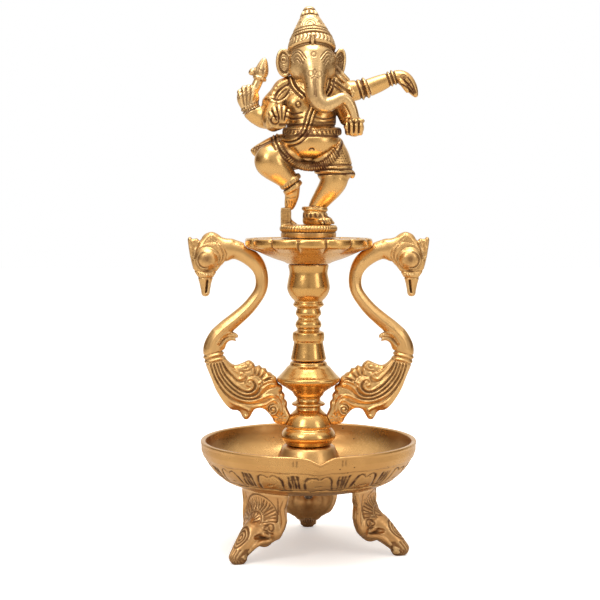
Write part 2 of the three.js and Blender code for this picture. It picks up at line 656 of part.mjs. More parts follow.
function figureBase() {
  const radius = FIGURE_BASE_RADIUS - 0.4;
  const coilZ = figureBaseTop - COIL_RADIUS;
  const profile = new THREE.Path();
  profile.moveTo(0, figureBaseBottom);
  profile.lineTo(radius, figureBaseBottom);
  profile.lineTo(radius, coilZ - 1.1 * COIL_RADIUS);
  profile.lineTo(radius - 1, coilZ - 0.9 * COIL_RADIUS);
  profile.lineTo(radius - 1, figureBaseTop);
  profile.lineTo(0, figureBaseTop);
  const coil = new THREE.TorusGeometry(FIGURE_BASE_RADIUS - COIL_RADIUS, COIL_RADIUS, 6, 28);
  const postX = Math.max(-FIGURE_BASE_RADIUS + POST_WIDTH / 2, (TOES.x - 1.6) * figureScale);
  const postTop = figureBaseTop + TOES.z * figureScale - SEAT_GAP;
  const y = TOES.y * figureScale;
  const gusset = limb(
    [
      [postX + 0.5, y, figureBaseTop + 3, 1.6],
      [postX + 5, y, figureBaseTop - 0.2, 1.3],
    ],
    { sides: 6, steps: 1 },
  );
  const post = block([postX, y, figureBaseTop - 2], [POST_WIDTH, POST_DEPTH, postTop - figureBaseTop + 2]);
  const solid = joined(turned(profile, 28), solidFromGeometry(coil.translate(0, 0, coilZ)), post, gusset);
  return cut(solid, rodHole(figureBaseBottom - 1, rodTop + SEAT_GAP));
}

function crown() {
  const tip = at(0, 0.4, FIGURE_DRAWN_HEIGHT);
  const brim = at(1.5, -1.6, 87.2);
  const tilt = 0.25; // how far each ring rises towards the front, per millimetre
  // Height above the brim, and radius there
  const turns = [
    [0, 11.4],
    [0.8, 12.1],
    [3.9, 11.2],
    [4.6, 10.3],
    [5.2, 10.6],
    [8.2, 9.8],
    [9.2, 8.6],
    [14.2, 6.5],
    [17.2, 4.6],
    [18, 4.9],
    [19.6, 4],
    [21.2, 2.2],
    [21.8, 0.6],
  ];
  const sides = 14;
  return skinned(
    turns.map(([rise, radius]) => {
      const centre = brim.clone().lerp(tip, rise / (tip.z - brim.z));
      return Array.from({ length: sides }, (_, side) => {
        const angle = (2 * Math.PI * side) / sides;
        const reach = 0.92 * radius * Math.sin(angle);
        return at(centre.x + radius * Math.cos(angle), centre.y + reach, centre.z - tilt * reach);
      });
    }),
  );
}

function head() {
  const skull = ball([1.5, -2.6, 81], [11.2, 9.6, 10.8], { sides: 12, rows: 8 });
  const brow = ball([1.7, -7, 82], [9, 6, 7.5], { sides: 10, rows: 6 });
  const trunk = limb(
    [
      [1.9, -8.5, 78, 6.8],
      [2.2, -11.6, 71.5, 5.3],
      [2.5, -13.6, 64.6, 4.7],
      [4.2, -14, 60.6, 4.2],
      [8, -13.6, 59.3, 3.8],
      [13, -12.6, 61, 3.2],
      [17.4, -11.6, 62.2, 2.7],
      [20.8, -10.6, 59.8, 2.6],
      [22.1, -9.6, 55.6, 2.5],
    ],
    { sides: 8, steps: 2 },
  );
  const ears = [
    ball([-11.8, 0.5, 80.2], [4.6, 4.2, 6.7], { sides: 8, rows: 6, roll: -6 }),
    ball([14.4, 0.5, 79], [4, 4.4, 7.9], { sides: 8, rows: 6, roll: 10 }),
  ];
  return joined(skull, brow, trunk, crown(), ...ears);
}

function torso() {
  const belly = ball([1.2, -2.8, 41], [14.4, 12.3, 10], { sides: 12, rows: 8 });
  const chest = ball([0.4, 1.2, 58.5], [13.6, 9.4, 14], { sides: 12, rows: 8 });
  const belt = limb(
    [
      [0.9, 0, 43.6, 15],
      [0.9, 0, 48, 14.8],
    ],
    { sides: 14, steps: 1, flatness: 0.78, domed: false },
  );
  const shoulders = limb(
    [
      [-13, 2, 66.5, 5.2],
      [0, 2, 69, 7.5],
      [14, 3, 66.8, 5.2],
    ],
    { sides: 8, steps: 2 },
  );
  return joined(belly, chest, belt, shoulders);
}

function legs() {
  const raised = limb(
    [
      [-4, 0, 35.8, 8.4],
      [-12.6, -4.6, 34.2, 8.4],
      [-18.2, -7.6, 31.6, 8.3],
      [-13.8, -7.3, 25.6, 6.2],
      [-9, -5.2, 20, 4.2],
    ],
    { facing: at(0.3, 1, 0.2), bands: [[0.93, 0.05, 1.4]] },
  );
  const hanging = limb(
    [
      [-9.2, -4.6, 19, 3.2],
      [-9.2, -3.4, 14, 2.9],
      [TOES.x, TOES.y, TOES.z + 1.6, 2.8],
    ],
    { sides: 8, steps: 1 },
  );
  const standing = limb(
    [
      [5, 0, 33, 9.4],
      [10.6, -3.4, 26.5, 7.8],
      [12, -4.8, 21.8, 6.9],
      [7.4, -2.8, 14.5, 5.2],
      [3.4, -0.6, 8, 4],
      [3, -0.4, 4, 4.2],
    ],
    { bands: [[0.86, 0.05, 1.6]] },
  );
  const sole = limb(
    [
      [0.4, 1.4, 2.4, 3.6],
      [5, -1.6, 2.4, 3.6],
      [9.4, -4.4, 1.6, 2.6],
    ],
    { sides: 8, steps: 1, facing: at(0, 0, 1), flatness: 0.8 },
  );
  const skirts = [
    limb(
      [
        [6.5, 0, 40, 9],
        [9.8, -1.2, 33, 10.2],
        [12.4, -2, 27, 10],
      ],
      { sides: 12, steps: 1, domed: false, bands: [[0.9, 0.06, 0.9]] },
    ),
    limb(
      [
        [-4, 1, 38.8, 8.4],
        [-14, -0.4, 37.8, 7],
        [-21.6, -1.2, 36.7, 4.8],
        [-27.4, -2.2, 36.9, 1.2],
      ],
      { sides: 8, steps: 1 },
    ),
  ];
  const fringe = limb(
    [
      [-14, -8.4, 38.4, 2.1],
      [-10, -9.6, 32.6, 2.2],
      [-3.4, -10.4, 29, 2.3],
      [5, -10.4, 29, 2.3],
      [10.6, -9.6, 32, 2.2],
      [14.4, -8.4, 36.8, 2.1],
    ],
    { sides: 6, steps: 1 },
  );
  const toeTrim = block([TOES.x, TOES.y, TOES.z - 10], [12, 12, 10]);
  const soleTrim = block([0, 0, SEAT_GAP / figureScale - 40], [80, 80, 40]);
  return cut(joined(raised, hanging, standing, sole, fringe, ...skirts), toeTrim, soleTrim);
}

function frontArms() {
  const blessing = limb(
    [
      [-12.4, 0, 65, 5],
      [-17.4, -2, 56, 4.9],
      [-18.4, -5, 50.6, 4.5],
      [-15.2, -10.4, 50, 3.4],
    ],
    { sides: 8, steps: 2, facing: at(1, 0.4, 0) },
  );
  const palm = ball([-14.2, -11.8, 54.6], [4.5, 2.4, 6], { sides: 8, rows: 6 });
  const offering = limb(
    [
      [12.6, 0, 64.6, 5],
      [17.6, -1, 57, 4.2],
      [19.6, -3.6, 51.4, 3.8],
      [22, -7, 48.8, 3],
    ],
    { sides: 8, steps: 2, facing: at(1, 0.4, 0) },
  );
  const fist = ball([22.4, -8.4, 48.4], [5.3, 4.4, 4.4], { sides: 8, rows: 6 });
  const sweet = ball([22.8, -9.6, 51], [3.4, 3.2, 3.2], { sides: 8, rows: 5 });
  return joined(blessing, palm, offering, fist, sweet);
}

// What is left of a solid once a short block past a joint is cut away from it
function trimmed(solid, point, direction) {
  const gap = SEAT_GAP / figureScale / 2;
  const past = new THREE.BoxGeometry(15, 15, 20).translate(0, 0, 10 - gap);
  past.applyQuaternion(new THREE.Quaternion().setFromUnitVectors(at(0, 0, 1), direction.clone().normalize()));
  return cut(solid, solidFromGeometry(past.translate(point.x, point.y, point.z)));
}

// The rear arms, each in two castings that meet inside a band: the part that is one with the body,
// and the part that is brazed on to it.
function stretchedUpperArm() {
  const arm = limb([[13, 3, 66, 6], [22, 4, 67, 5.2], [ARMLET.x + 3, ARMLET.y, ARMLET.z + 1, 4.7]]);
  return trimmed(arm, ARMLET, armDirection);
}

function stretchedForearm() {
  const arm = limb(
    [
      [ARMLET.x - 3, ARMLET.y, ARMLET.z - 1, 4.8],
      [ARMLET.x + 3, ARMLET.y, ARMLET.z + 1, 4.6],
      [36, 4, 70.4, 4.3],
      [42.4, 3.4, 73.2, 3.2],
      [47.4, 2.6, 74.2, 3.4],
      [51.2, 1.4, 70.2, 2.8],
      [53.2, 0.6, 67, 1.6],
    ],
    { bands: [[0.13, 0.03, 0.9], [0.5, 0.03, 0.8]] },
  );
  return trimmed(arm, ARMLET, armDirection.clone().negate());
}

function raisedForearm() {
  const arm = limb([
    [-10.8, 2.4, 66.4, 6.2],
    [-16.6, 3.2, 60, 6.1],
    [-20, 3.4, 54.6, 6.4],
    [-24.4, 3, 54.2, 5.2],
    [BRACELET.x, BRACELET.y, BRACELET.z, 4.2],
    [BRACELET.x - 1.2, BRACELET.y, BRACELET.z + 3, 4.2],
  ]);
  return trimmed(arm, BRACELET, handDirection);
}

// The hand that holds a lotus bud on a short handle
function raisedHand() {
  const wrist = limb(
    [
      [BRACELET.x + 1, BRACELET.y, BRACELET.z - 3, 3.8],
      [BRACELET.x - 1.4, BRACELET.y, BRACELET.z + 3.4, 4.2],
    ],
    { bands: [[0.62, 0.16, 0.9]] },
  );
  const palm = ball([-30.4, 1.6, 63], [5.3, 3.6, 6], { sides: 8, rows: 6, roll: 8 });
  const bud = limb(
    [
      [-27.4, 1, 65, 1.9],
      [-25, 1, 69, 1.9],
      [-23.8, 1, 73, 2.2],
      [-23.2, 1, 77.4, 3.5],
      [-22.2, 1, 80.4, 2.2],
      [-21.7, 1, 82, 1.1],
    ],
    { sides: 6, steps: 1, bands: [[0.42, 0.05, 0.9]] },
  );
  const lobe = limb([[-24.5, 1, 76.4, 1.9], [-28.4, 1, 76.8, 1.5]], { sides: 5, steps: 1 });
  const hand = joined(wrist, palm, bud, lobe);
  return trimmed(hand, BRACELET, handDirection.clone().negate());
}

function ganesha() {
  const figure = new THREE.Group();
  const body = joined(torso(), legs(), head(), frontArms(), stretchedUpperArm(), raisedForearm());
  figure.add(piece("ganesha_body", body));
  figure.add(piece("ganesha_outstretched_arm", stretchedForearm()));
  figure.add(piece("ganesha_raised_hand", raisedHand()));
  figure.scale.setScalar(figureScale);
  figure.position.z = figureBaseTop;
  return figure;
}

const lamp = new THREE.Group();
const seat = bowlSeat();
lamp.add(piece("oil_bowl", oilBowl(), darkBrass));
for (const [name, azimuth] of Object.entries(FOOT_ANGLES)) lamp.add(foot("foot_" + name, azimuth, seat));
lamp.add(piece("stem_base", stemBase()));
lamp.add(piece("stem_saucer", stemSaucer()));
lamp.add(piece("stem_baluster", stemBaluster()));
lamp.add(piece("top_plate", topPlate()));
lamp.add(peacock("peacock_left", -1));
lamp.add(peacock("peacock_right", 1));
lamp.add(piece("tie_rod", tieRod(), steel));
lamp.add(piece("tie_washer", collar(WASHER_RADIUS, 20, washerTop - WASHER_THICKNESS, washerTop), steel));
const nutRadius = NUT_ACROSS_FLATS / 2 / Math.cos(Math.PI / 6);
lamp.add(piece("tie_nut", collar(nutRadius, 6, nutTop - NUT_HEIGHT, nutTop), steel));
lamp.add(piece("figure_base", figureBase()));
lamp.add(ganesha());

export default lamp;
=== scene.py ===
import math

import bpy
import numpy as np
from mathutils import Matrix, Vector

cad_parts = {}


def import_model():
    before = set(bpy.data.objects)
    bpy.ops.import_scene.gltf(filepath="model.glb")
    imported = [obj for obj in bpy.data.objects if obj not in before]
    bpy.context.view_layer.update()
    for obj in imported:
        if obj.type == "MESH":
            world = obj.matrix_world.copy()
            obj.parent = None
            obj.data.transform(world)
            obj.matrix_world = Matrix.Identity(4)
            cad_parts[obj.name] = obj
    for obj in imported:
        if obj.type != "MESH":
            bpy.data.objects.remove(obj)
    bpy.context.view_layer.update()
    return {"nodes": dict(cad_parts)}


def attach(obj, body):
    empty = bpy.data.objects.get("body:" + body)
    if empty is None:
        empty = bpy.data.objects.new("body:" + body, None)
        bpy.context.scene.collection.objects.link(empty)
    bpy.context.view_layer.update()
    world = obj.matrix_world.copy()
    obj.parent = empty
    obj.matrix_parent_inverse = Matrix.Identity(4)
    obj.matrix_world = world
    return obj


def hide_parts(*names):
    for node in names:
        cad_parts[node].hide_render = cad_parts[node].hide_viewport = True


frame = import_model()

MM = 0.001
REACH = 3.5  # distances from a surface are kept up to this far
ROW_STEP = 0.35  # between the rows of points on a turned piece
COARSE_ROWS = 6  # one row in so many is kept where little is seen
RIM_DEPTH = 1.8  # of a turned piece's rim, which keeps all its rows

# Camera, as in the photograph
CAMERA_X = -4.24
CAMERA_BACK = 716.5  # how far it stands in front of the lamp's axis
CAMERA_HEIGHT = 174.1
CAMERA_PITCH = -3.44  # degrees
CAMERA_SHIFT = -0.02  # share of the frame; the lamp stands a little above the middle of the picture
CAMERA_LENS = 86.3
CAMERA_SENSOR = 36

# Floor and room, as linear colours and levels where 1 is white
FLOOR_SIZE = 6000
WHITE = (1.0, 1.0, 1.0, 1.0)
FLOOR_PAINT = (0.93, 0.92, 0.91, 1.0)
FLOOR_GLOW = 0.38  # takes the seen floor up to the backdrop's white and leaves the shadow on it
FLOOR_IN_METAL = (0.63, 0.59, 0.54, 1.0)  # duller, so that the undersides stay as dark as in the photograph
ROOM_DARK = (0.13, 0.07, 0.03, 1.0)
ROOM_BRIGHT = (1.0, 0.96, 0.9, 1.0)
ROOM_FRONT = 0.59
ROOM_OVERHEAD = 1.15
DARK_STRIP = 0.7  # how much of the front's light an upright strip behind the camera takes away

# Lamps: place and aim in metres, width and height in metres, power in watts
LAMPS = {
    "key": ((-0.55, -0.75, 0.75), (0, 0, 0.14), (0.35, 0.5), 2.8),
    "fill": ((0.75, -0.6, 0.45), (0, 0, 0.14), (0.25, 0.6), 1.1),
    "top": ((0.0, -0.1, 1.0), (0, 0, 0.1), (0.6, 0.6), 6.0),
}

# How the tarnish and painted shade in hollows are found: by what stands near the surface at some distances
# out, each with a weight, the wider ones painting broad shade in valleys, and a sharp edge by how thin the
# metal is at a depth
TARNISH_SHADE_PROBES = ((0.5, 0.35), (1.2, 0.3), (2.6, 0.2), (5.5, 0.15))
PROFILE_PROBES = ((0.5, 0.4), (1.2, 0.35), (2.6, 0.25))
EDGE_DEPTH = 0.8

# Grid steps of the clay, and the gap left at a joint between castings
FINE_CELL = 0.36
BRACKET_CELL = 0.37
BODY_CELL = 0.42
JOINT_GAP = 0.1

# Places that are shared between pieces, from the CAD model
BOWL_UNDERSIDE = 33.0
BOWL_FLOOR = 37.2
BOWL_RIM = 55.3
BOWL_RADIUS = 53.7
BOSS_TOP = 52.2
SPOUT_ANGLE = 5.4  # degrees to the right of the front
STEM_BASE_BOTTOM = 52.5
SAUCER_BOTTOM = 72.2
BALUSTER_BOTTOM = 94.7
PLATE_HUB = 143.3
PLATE_TOP = 155.9
FIGURE_BASE_TOP = 162.5
ROD_HOLE = 2.35


# Curves


def smooth_track(stations, steps):
    """Points on a smooth curve through stations, each a row of numbers of any length."""
    rows = np.array(stations, float)
    if len(rows) < 3:
        share = np.linspace(0, 1, steps + 1)[:, None]
        return rows[0] * (1 - share) + rows[-1] * share
    padded = np.vstack([2 * rows[0] - rows[1], rows, 2 * rows[-1] - rows[-2]])
    track = []
    for before, start, end, after in zip(padded, padded[1:], padded[2:], padded[3:]):
        t = np.linspace(0, 1, steps, endpoint=False)[:, None]
        track.append(
            0.5
            * (
                2 * start
                + (end - before) * t
                + (2 * before - 5 * start + 4 * end - after) * t**2
                + (3 * start - before - 3 * end + after) * t**3
            )
        )
    return np.vstack(track + [rows[-1:]])


def arc(centre, radius, start, end, steps=16, squeeze=1.0):
    """Points on an arc, in degrees counter-clockwise from the first axis."""
    angles = np.radians(np.linspace(start, end, steps))
    return [(centre[0] + radius * math.cos(a), centre[1] + squeeze * radius * math.sin(a)) for a in angles]


def spiral(centre, outer, inner, start, turns, steps=40):
    """A scroll that winds from the outer radius to the inner one."""
    share = np.linspace(0, 1, steps)
    angles = math.radians(start) + share * turns * 2 * math.pi
    radii = outer + share * (inner - outer)
    return [(centre[0] + r * math.cos(a), centre[1] + r * math.sin(a)) for r, a in zip(radii, angles)]


def path_distance(x, z, paths):
    """How far each point (x, z) is from the nearest of some polylines."""
    near = np.full(np.broadcast(x, z).shape, REACH * 2, np.float32)
    for path in paths:
        for (ax, az), (bx, bz) in zip(path[:-1], path[1:]):
            dx, dz = bx - ax, bz - az
            length = dx * dx + dz * dz or 1e-9
            t = np.clip(((x - ax) * dx + (z - az) * dz) / length, 0, 1)
            near = np.minimum(near, np.hypot(x - ax - t * dx, z - az - t * dz))
    return near


def outline_distance(x, z, outline):
    """How far each point (x, z) is outside a closed outline, negative inside."""
    points = [tuple(p) for p in outline]
    closed = points + points[:1]
    far = path_distance(x, z, [closed])
    inside = np.zeros(far.shape, bool)
    for (ax, az), (bx, bz) in zip(closed[:-1], closed[1:]):
        if az == bz:
            continue
        crosses = ((az > z) != (bz > z)) & (x < (bx - ax) * (z - az) / (bz - az) + ax)
        inside ^= crosses
    return np.where(inside, -far, far)


def blended(a, b, softness):
    """The smaller of two distances, with a fillet where they meet."""
    if softness <= 0:
        return np.minimum(a, b)
    close = np.maximum(softness - np.abs(a - b), 0) / softness
    return np.minimum(a, b) - close * close * softness * 0.25


# Clay: shapes held as distances on a grid


class Clay:
    """A block of space that knows how far each of its grid points is from a shape's surface."""

    def __init__(self, low, high, cell, stain=1.0):
        self.low = np.array(low, np.float32)
        self.cell = cell
        counts = np.ceil((np.array(high) - self.low) / cell).astype(int) + 1
        self.field = np.full(counts, REACH, np.float32)
        self.ink = np.zeros(counts, np.float32)
        self.stain = stain  # how dark the tarnish in engraved lines is

    def window(self, low, high):
        """The grid between two corners: its slices, and its x, y and z as open arrays."""
        limit = np.array(self.field.shape)
        first = np.clip(np.floor((np.array(low) - self.low) / self.cell).astype(int), 0, limit)
        last = np.clip(np.ceil((np.array(high) - self.low) / self.cell).astype(int) + 1, first, limit)
        cuts = tuple(slice(a, b) for a, b in zip(first, last))
        axes = [self.low[i] + self.cell * np.arange(first[i], last[i], dtype=np.float32) for i in range(3)]
        return cuts, axes[0][:, None, None], axes[1][None, :, None], axes[2][None, None, :]

    def merge(self, cuts, distance, blend, carve=False):
        """Adds a shape to the clay, or carves it out, with a fillet of the blend's size."""
        if carve:
            self.field[cuts] = -blended(-self.field[cuts], distance, blend)
        else:
            self.field[cuts] = blended(self.field[cuts], distance, blend)

    def ball(self, centre, radii, roll=0, blend=0.8, carve=False):
        """An ellipsoid, rolled about y, in degrees."""
        radii = np.array(radii, float) * np.ones(3)
        margin = radii.max() + REACH
        cuts, x, y, z = self.window(np.array(centre) - margin, np.array(centre) + margin)
        x, y, z = x - centre[0], y - centre[1], z - centre[2]
        c, s = math.cos(math.radians(roll)), math.sin(math.radians(roll))
        x, z = c * x - s * z, s * x + c * z
        full = np.sqrt((x / radii[0]) ** 2 + (y / radii[1]) ** 2 + (z / radii[2]) ** 2)
        steep = np.sqrt((x / radii[0] ** 2) ** 2 + (y / radii[1] ** 2) ** 2 + (z / radii[2] ** 2) ** 2)
        self.merge(cuts, full * (full - 1) / np.maximum(steep, 1e-6), blend, carve)

    def limb(self, stations, blend=0.8, steps=5, squash=1.0):
        """A round limb through stations of (x, y, z, radius). Squash flattens it along y."""
        track = smooth_track(stations, steps)
        margin = track[:, 3].max() + REACH
        low = track[:, :3].min(0) - margin
        cuts, *_ = self.window(low, track[:, :3].max(0) + margin)
        near = np.full(self.field[cuts].shape, REACH, np.float32)
        start = [c.start for c in cuts]
        for a, b in zip(track[:-1], track[1:]):
            reach = max(a[3], b[3]) + REACH
            part, x, y, z = self.window(np.minimum(a, b)[:3] - reach, np.maximum(a, b)[:3] + reach)
            local = tuple(slice(p.start - s, p.stop - s) for p, s in zip(part, start))
            run = b[:3] - a[:3]
            length = float(run @ run) or 1e-9
            dx, dy, dz = x - a[0], y - a[1], z - a[2]
            t = np.clip((dx * run[0] + dy * run[1] + dz * run[2]) / length, 0, 1)
            dy = (dy - t * run[1]) / squash
            reach = np.sqrt((dx - t * run[0]) ** 2 + dy**2 + (dz - t * run[2]) ** 2)
            near[local] = np.minimum(near[local], reach - a[3] - t * (b[3] - a[3]))
        self.merge(cuts, near, blend)

    def spun(self, start, end, profile, blend=0.5, carve=False, squash=1.0):
        """A solid of revolution on the line from start to end. The profile is (distance along, radius)."""
        start, end = np.array(start, float), np.array(end, float)
        axis = (end - start) / np.linalg.norm(end - start)
        along, radii = np.array(profile, float).T
        margin = radii.max() + REACH
        ends = np.array([start + axis * along.min(), start + axis * along.max()])
        cuts, x, y, z = self.window(ends.min(0) - margin, ends.max(0) + margin)
        dx, dy, dz = x - start[0], y - start[1], z - start[2]
        t = dx * axis[0] + dy * axis[1] + dz * axis[2]
        dy = (dy - t * axis[1]) / squash
        out = np.sqrt(np.maximum((dx - t * axis[0]) ** 2 + dy**2 + (dz - t * axis[2]) ** 2, 0))
        near = 0.85 * (out - np.interp(t, along, radii))
        near = np.maximum(near, np.maximum(along.min() - t, t - along.max()))
        self.merge(cuts, near.astype(np.float32), blend, carve)

    def slab(self, outline, thickness, bevel, blend=0.5):
        """An outline in (x, z), given a domed thickness in y."""
        points = np.array(outline, float)
        low = (points[:, 0].min() - REACH, -thickness / 2 - REACH, points[:, 1].min() - REACH)
        high = (points[:, 0].max() + REACH, thickness / 2 + REACH, points[:, 1].max() + REACH)
        cuts, x, y, z = self.window(low, high)
        side = outline_distance(x[:, 0, :], z[:, 0, :], points)
        depth = np.clip(-side / bevel, 0, 1)
        half = thickness / 2 * (0.35 + 0.65 * np.sqrt(1 - (1 - depth) ** 2))
        near = -blended(-side[:, None, :], -(np.abs(y) - half[:, None, :]), 0.8)
        self.merge(cuts, near.astype(np.float32), blend)

    def draw(self, paths, height, width, before=1e3, behind=-1e3):
        """Raises (or with a minus, engraves) lines in (x, z) on the surfaces between two values of y."""
        paths = [np.array(p, float) for p in paths]
        flat = np.vstack(paths)
        low = flat.min(0) - 2.5 * width
        high = flat.max(0) + 2.5 * width
        cuts, x, _, z = self.window((low[0], behind, low[1]), (high[0], before, high[1]))
        if min(self.field[cuts].shape) == 0:
            return
        near = path_distance(x[:, 0, :], z[:, 0, :], paths)
        self.line(cuts, np.exp(-((near / width) ** 2))[:, None, :].astype(np.float32), height)

    def line(self, cuts, line, height):
        """Raises or engraves a line, and marks engraved ones, which hold tarnish."""
        self.field[cuts] -= height * line
        if height < 0:
            dark = self.stain * min(1.0, 0.35 - 1.6 * height)
            self.ink[cuts] = np.maximum(self.ink[cuts], line * dark)

    def skin(self, x, z, side=-1):
        """The y of the surface that is met first from the front (-1) or the back (1)."""
        i = int(round((x - self.low[0]) / self.cell))
        k = int(round((z - self.low[2]) / self.cell))
        column = self.field[np.clip(i, 0, self.field.shape[0] - 1), :, np.clip(k, 0, self.field.shape[2] - 1)]
        solid = np.flatnonzero(column < 0)
        if len(solid) == 0:
            return None
        j = solid[0] if side < 0 else solid[-1]
        return self.low[1] + self.cell * j

    def cord(self, path, radius, sink=0.2, side=-1, blend=0.25):
        """A round strip laid on the surface along a path in (x, z)."""
        stations = []
        for x, z in smooth_track(path, 4):
            y = self.skin(x, z, side)
            if y is not None:
                stations.append((x, y - side * sink, z, radius))
        if len(stations) > 1:
            self.limb(stations, blend=blend, steps=1)

    def beads(self, path, radius, spacing, side=-1):
        """A row of small balls on the surface along a path in (x, z)."""
        track = smooth_track(path, 6)
        lengths = np.r_[0, np.cumsum(np.hypot(*np.diff(track, axis=0).T))]
        for s in np.arange(0, lengths[-1] + 1e-6, spacing):
            x, z = np.interp(s, lengths, track[:, 0]), np.interp(s, lengths, track[:, 1])
            y = self.skin(x, z, side)
            if y is not None:
                self.ball((x, y - side * 0.1, z), (radius, radius, radius), blend=0.1)

    def sample(self, points, field=None):
        """The distance at any points, or what another field says, from the eight grid points round each."""
        field = self.field if field is None else field
        place = np.clip((points - self.low) / self.cell, 0, np.array(self.field.shape) - 1.001)
        base = place.astype(int)
        share = (place - base).astype(np.float32)
        total = np.zeros(len(points), np.float32)
        for i in (0, 1):
            for j in (0, 1):
                for k in (0, 1):
                    weight = np.abs(1 - i - share[:, 0]) * np.abs(1 - j - share[:, 1])
                    weight = weight * np.abs(1 - k - share[:, 2])
                    total += weight * field[base[:, 0] + i, base[:, 1] + j, base[:, 2] + k]
        return total

    def surface(self):
        """The points and four-sided faces of the shape's surface."""
        field = self.field
        for face in (np.s_[:1], np.s_[-1:]):
            field[face] = np.maximum(field[face], 0.3)
            field[:, face] = np.maximum(field[:, face], 0.3)
            field[:, :, face] = np.maximum(field[:, :, face], 0.3)
        inside = field < 0
        corners = [(i, j, k) for i in (0, 1) for j in (0, 1) for k in (0, 1)]
        size = np.array(field.shape) - 1

        def shifted(array, corner):
            return array[tuple(slice(c, c + n) for c, n in zip(corner, size))]

        count = sum(shifted(inside, c).astype(np.uint8) for c in corners)
        cells = np.argwhere((count > 0) & (count < 8))
        number = np.full(size, -1, np.int32)
        number[tuple(cells.T)] = np.arange(len(cells))
        total = np.zeros((len(cells), 3), np.float32)
        crossings = np.zeros(len(cells), np.float32)
        for a in corners:
            for axis in range(3):
                if a[axis] == 1:
                    continue
                b = tuple(c + (i == axis) for i, c in enumerate(a))
                start = field[tuple((cells + a).T)]
                end = field[tuple((cells + b).T)]
                cross = (start < 0) != (end < 0)
                share = np.where(cross, start / np.where(cross, start - end, 1), 0)
                point = np.array(a, np.float32) + np.eye(3, dtype=np.float32)[axis] * share[:, None]
                total += point * cross[:, None]
                crossings += cross
        points = self.low + self.cell * (cells + total / crossings[:, None])
        faces = []
        for axis in range(3):
            a, b = (axis + 1) % 3, (axis + 2) % 3
            lower = [slice(1, -1)] * 3
            upper = [slice(1, -1)] * 3
            lower[axis], upper[axis] = slice(0, -1), slice(1, None)
            start, end = inside[tuple(lower)], inside[tuple(upper)]
            for edges, outwards in ((start & ~end, 1), (~start & end, -1)):
                base = np.argwhere(edges) + [0 if i == axis else 1 for i in range(3)]
                ring = []
                for da, db in ((0, 0), (-1, 0), (-1, -1), (0, -1)):
                    cell = base.copy()
                    cell[:, a] += da
                    cell[:, b] += db
                    ring.append(number[tuple(cell.T)])
                ring = np.array(ring[::outwards]).T
                faces.append(ring)
        return points, np.vstack(faces)

    def normals(self, points):
        """Unit vectors out of the surface at some points."""
        step = 0.6 * self.cell
        slope = []
        for axis in range(3):
            move = np.zeros(3, np.float32)
            move[axis] = step
            slope.append(self.sample(points + move) - self.sample(points - move))
        slope = np.array(slope).T
        return slope / np.maximum(np.linalg.norm(slope, axis=1, keepdims=True), 1e-6)


# Meshes


def mesh_object(name, points, faces, matrix=None):
    """An object from points in millimetres and faces of three or four corners."""
    points = np.array(points, float) * MM
    if matrix is not None:
        points = points @ np.array(matrix)[:3, :3].T + np.array(matrix)[:3, 3]
    mesh = bpy.data.meshes.new(name)
    mesh.vertices.add(len(points))
    mesh.vertices.foreach_set("co", points.astype(np.float32).ravel())
    corners = faces.shape[1]
    mesh.loops.add(faces.size)
    mesh.loops.foreach_set("vertex_index", faces.astype(np.int32).ravel())
    mesh.polygons.add(len(faces))
    mesh.polygons.foreach_set("loop_start", np.arange(0, faces.size, corners, dtype=np.int32))
    mesh.update(calc_edges=True)
    mesh.polygons.foreach_set("use_smooth", np.ones(len(faces), bool))
    obj = bpy.data.objects.new(name, mesh)
    bpy.context.scene.collection.objects.link(obj)
    return obj


def finish_piece(obj, material, node):
    """Makes an object the dressed form of one of the CAD model's nodes, or of a part of it."""
    obj.data.materials.append(material)
    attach(obj, "root")
    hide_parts(node)


def store(obj, name, values):
    """Keeps one number for each of the mesh's points."""
    attribute = obj.data.attributes.new(name, "FLOAT", "POINT")
    attribute.data.foreach_set("value", np.asarray(values, np.float32))


def clay_piece(name, clay, material, node, matrix=None, mirror=False):
    """Turns clay into a piece, with the tarnish and painted shade of its hollows and how sharp its surface is
    kept on its points.
    """
    points, faces = clay.surface()
    normal = clay.normals(points)
    recess_tarnish_shade = np.zeros(len(points), np.float32)
    # Painted shade and tarnish: darker where more metal stands near the surface, and in engraved lines
    for step, weight in TARNISH_SHADE_PROBES:
        recess_tarnish_shade += weight * np.clip(1 - clay.sample(points + normal * step) / step, 0, 1)
    recess_tarnish_shade = np.clip(recess_tarnish_shade + clay.sample(points, clay.ink), 0, 1)
    sharp = np.clip(1 - clay.sample(points - normal * EDGE_DEPTH) / -EDGE_DEPTH, 0, 1)
    if mirror:
        points = points * (-1, 1, 1)
        normal = normal * (-1, 1, 1)
        faces = faces[:, ::-1]
    obj = mesh_object(name, points, faces, matrix)
    if matrix is not None:
        normal = normal @ np.array(matrix)[:3, :3].T
    obj.data.normals_split_custom_set_from_vertices(normal.astype(np.float32))
    store(obj, "recess_tarnish_shade", recess_tarnish_shade)
    store(obj, "sharp", sharp)
    finish_piece(obj, material, node)


def profile_tarnish_shade_and_edges(profile):
    """How much tarnish and painted shade a turned profile of (radius, height) gets in its hollows, and how
    sharp it is, at each of its points.
    """
    rows = np.array(profile, float)
    run = np.gradient(rows, axis=0)
    out = np.array([run[:, 1], -run[:, 0]]).T
    out /= np.maximum(np.linalg.norm(out, axis=1, keepdims=True), 1e-9)
    recess_tarnish_shade = np.zeros(len(rows))
    for step, weight in PROFILE_PROBES:
        probe = rows + out * step
        recess_tarnish_shade += weight * np.clip(1 - path_distance(probe[:, 0], probe[:, 1], [rows]) / step, 0, 1)
    probe = rows - out * EDGE_DEPTH
    sharp = np.clip(1 - path_distance(probe[:, 0], probe[:, 1], [rows]) / EDGE_DEPTH, 0, 1)
    return recess_tarnish_shade, sharp


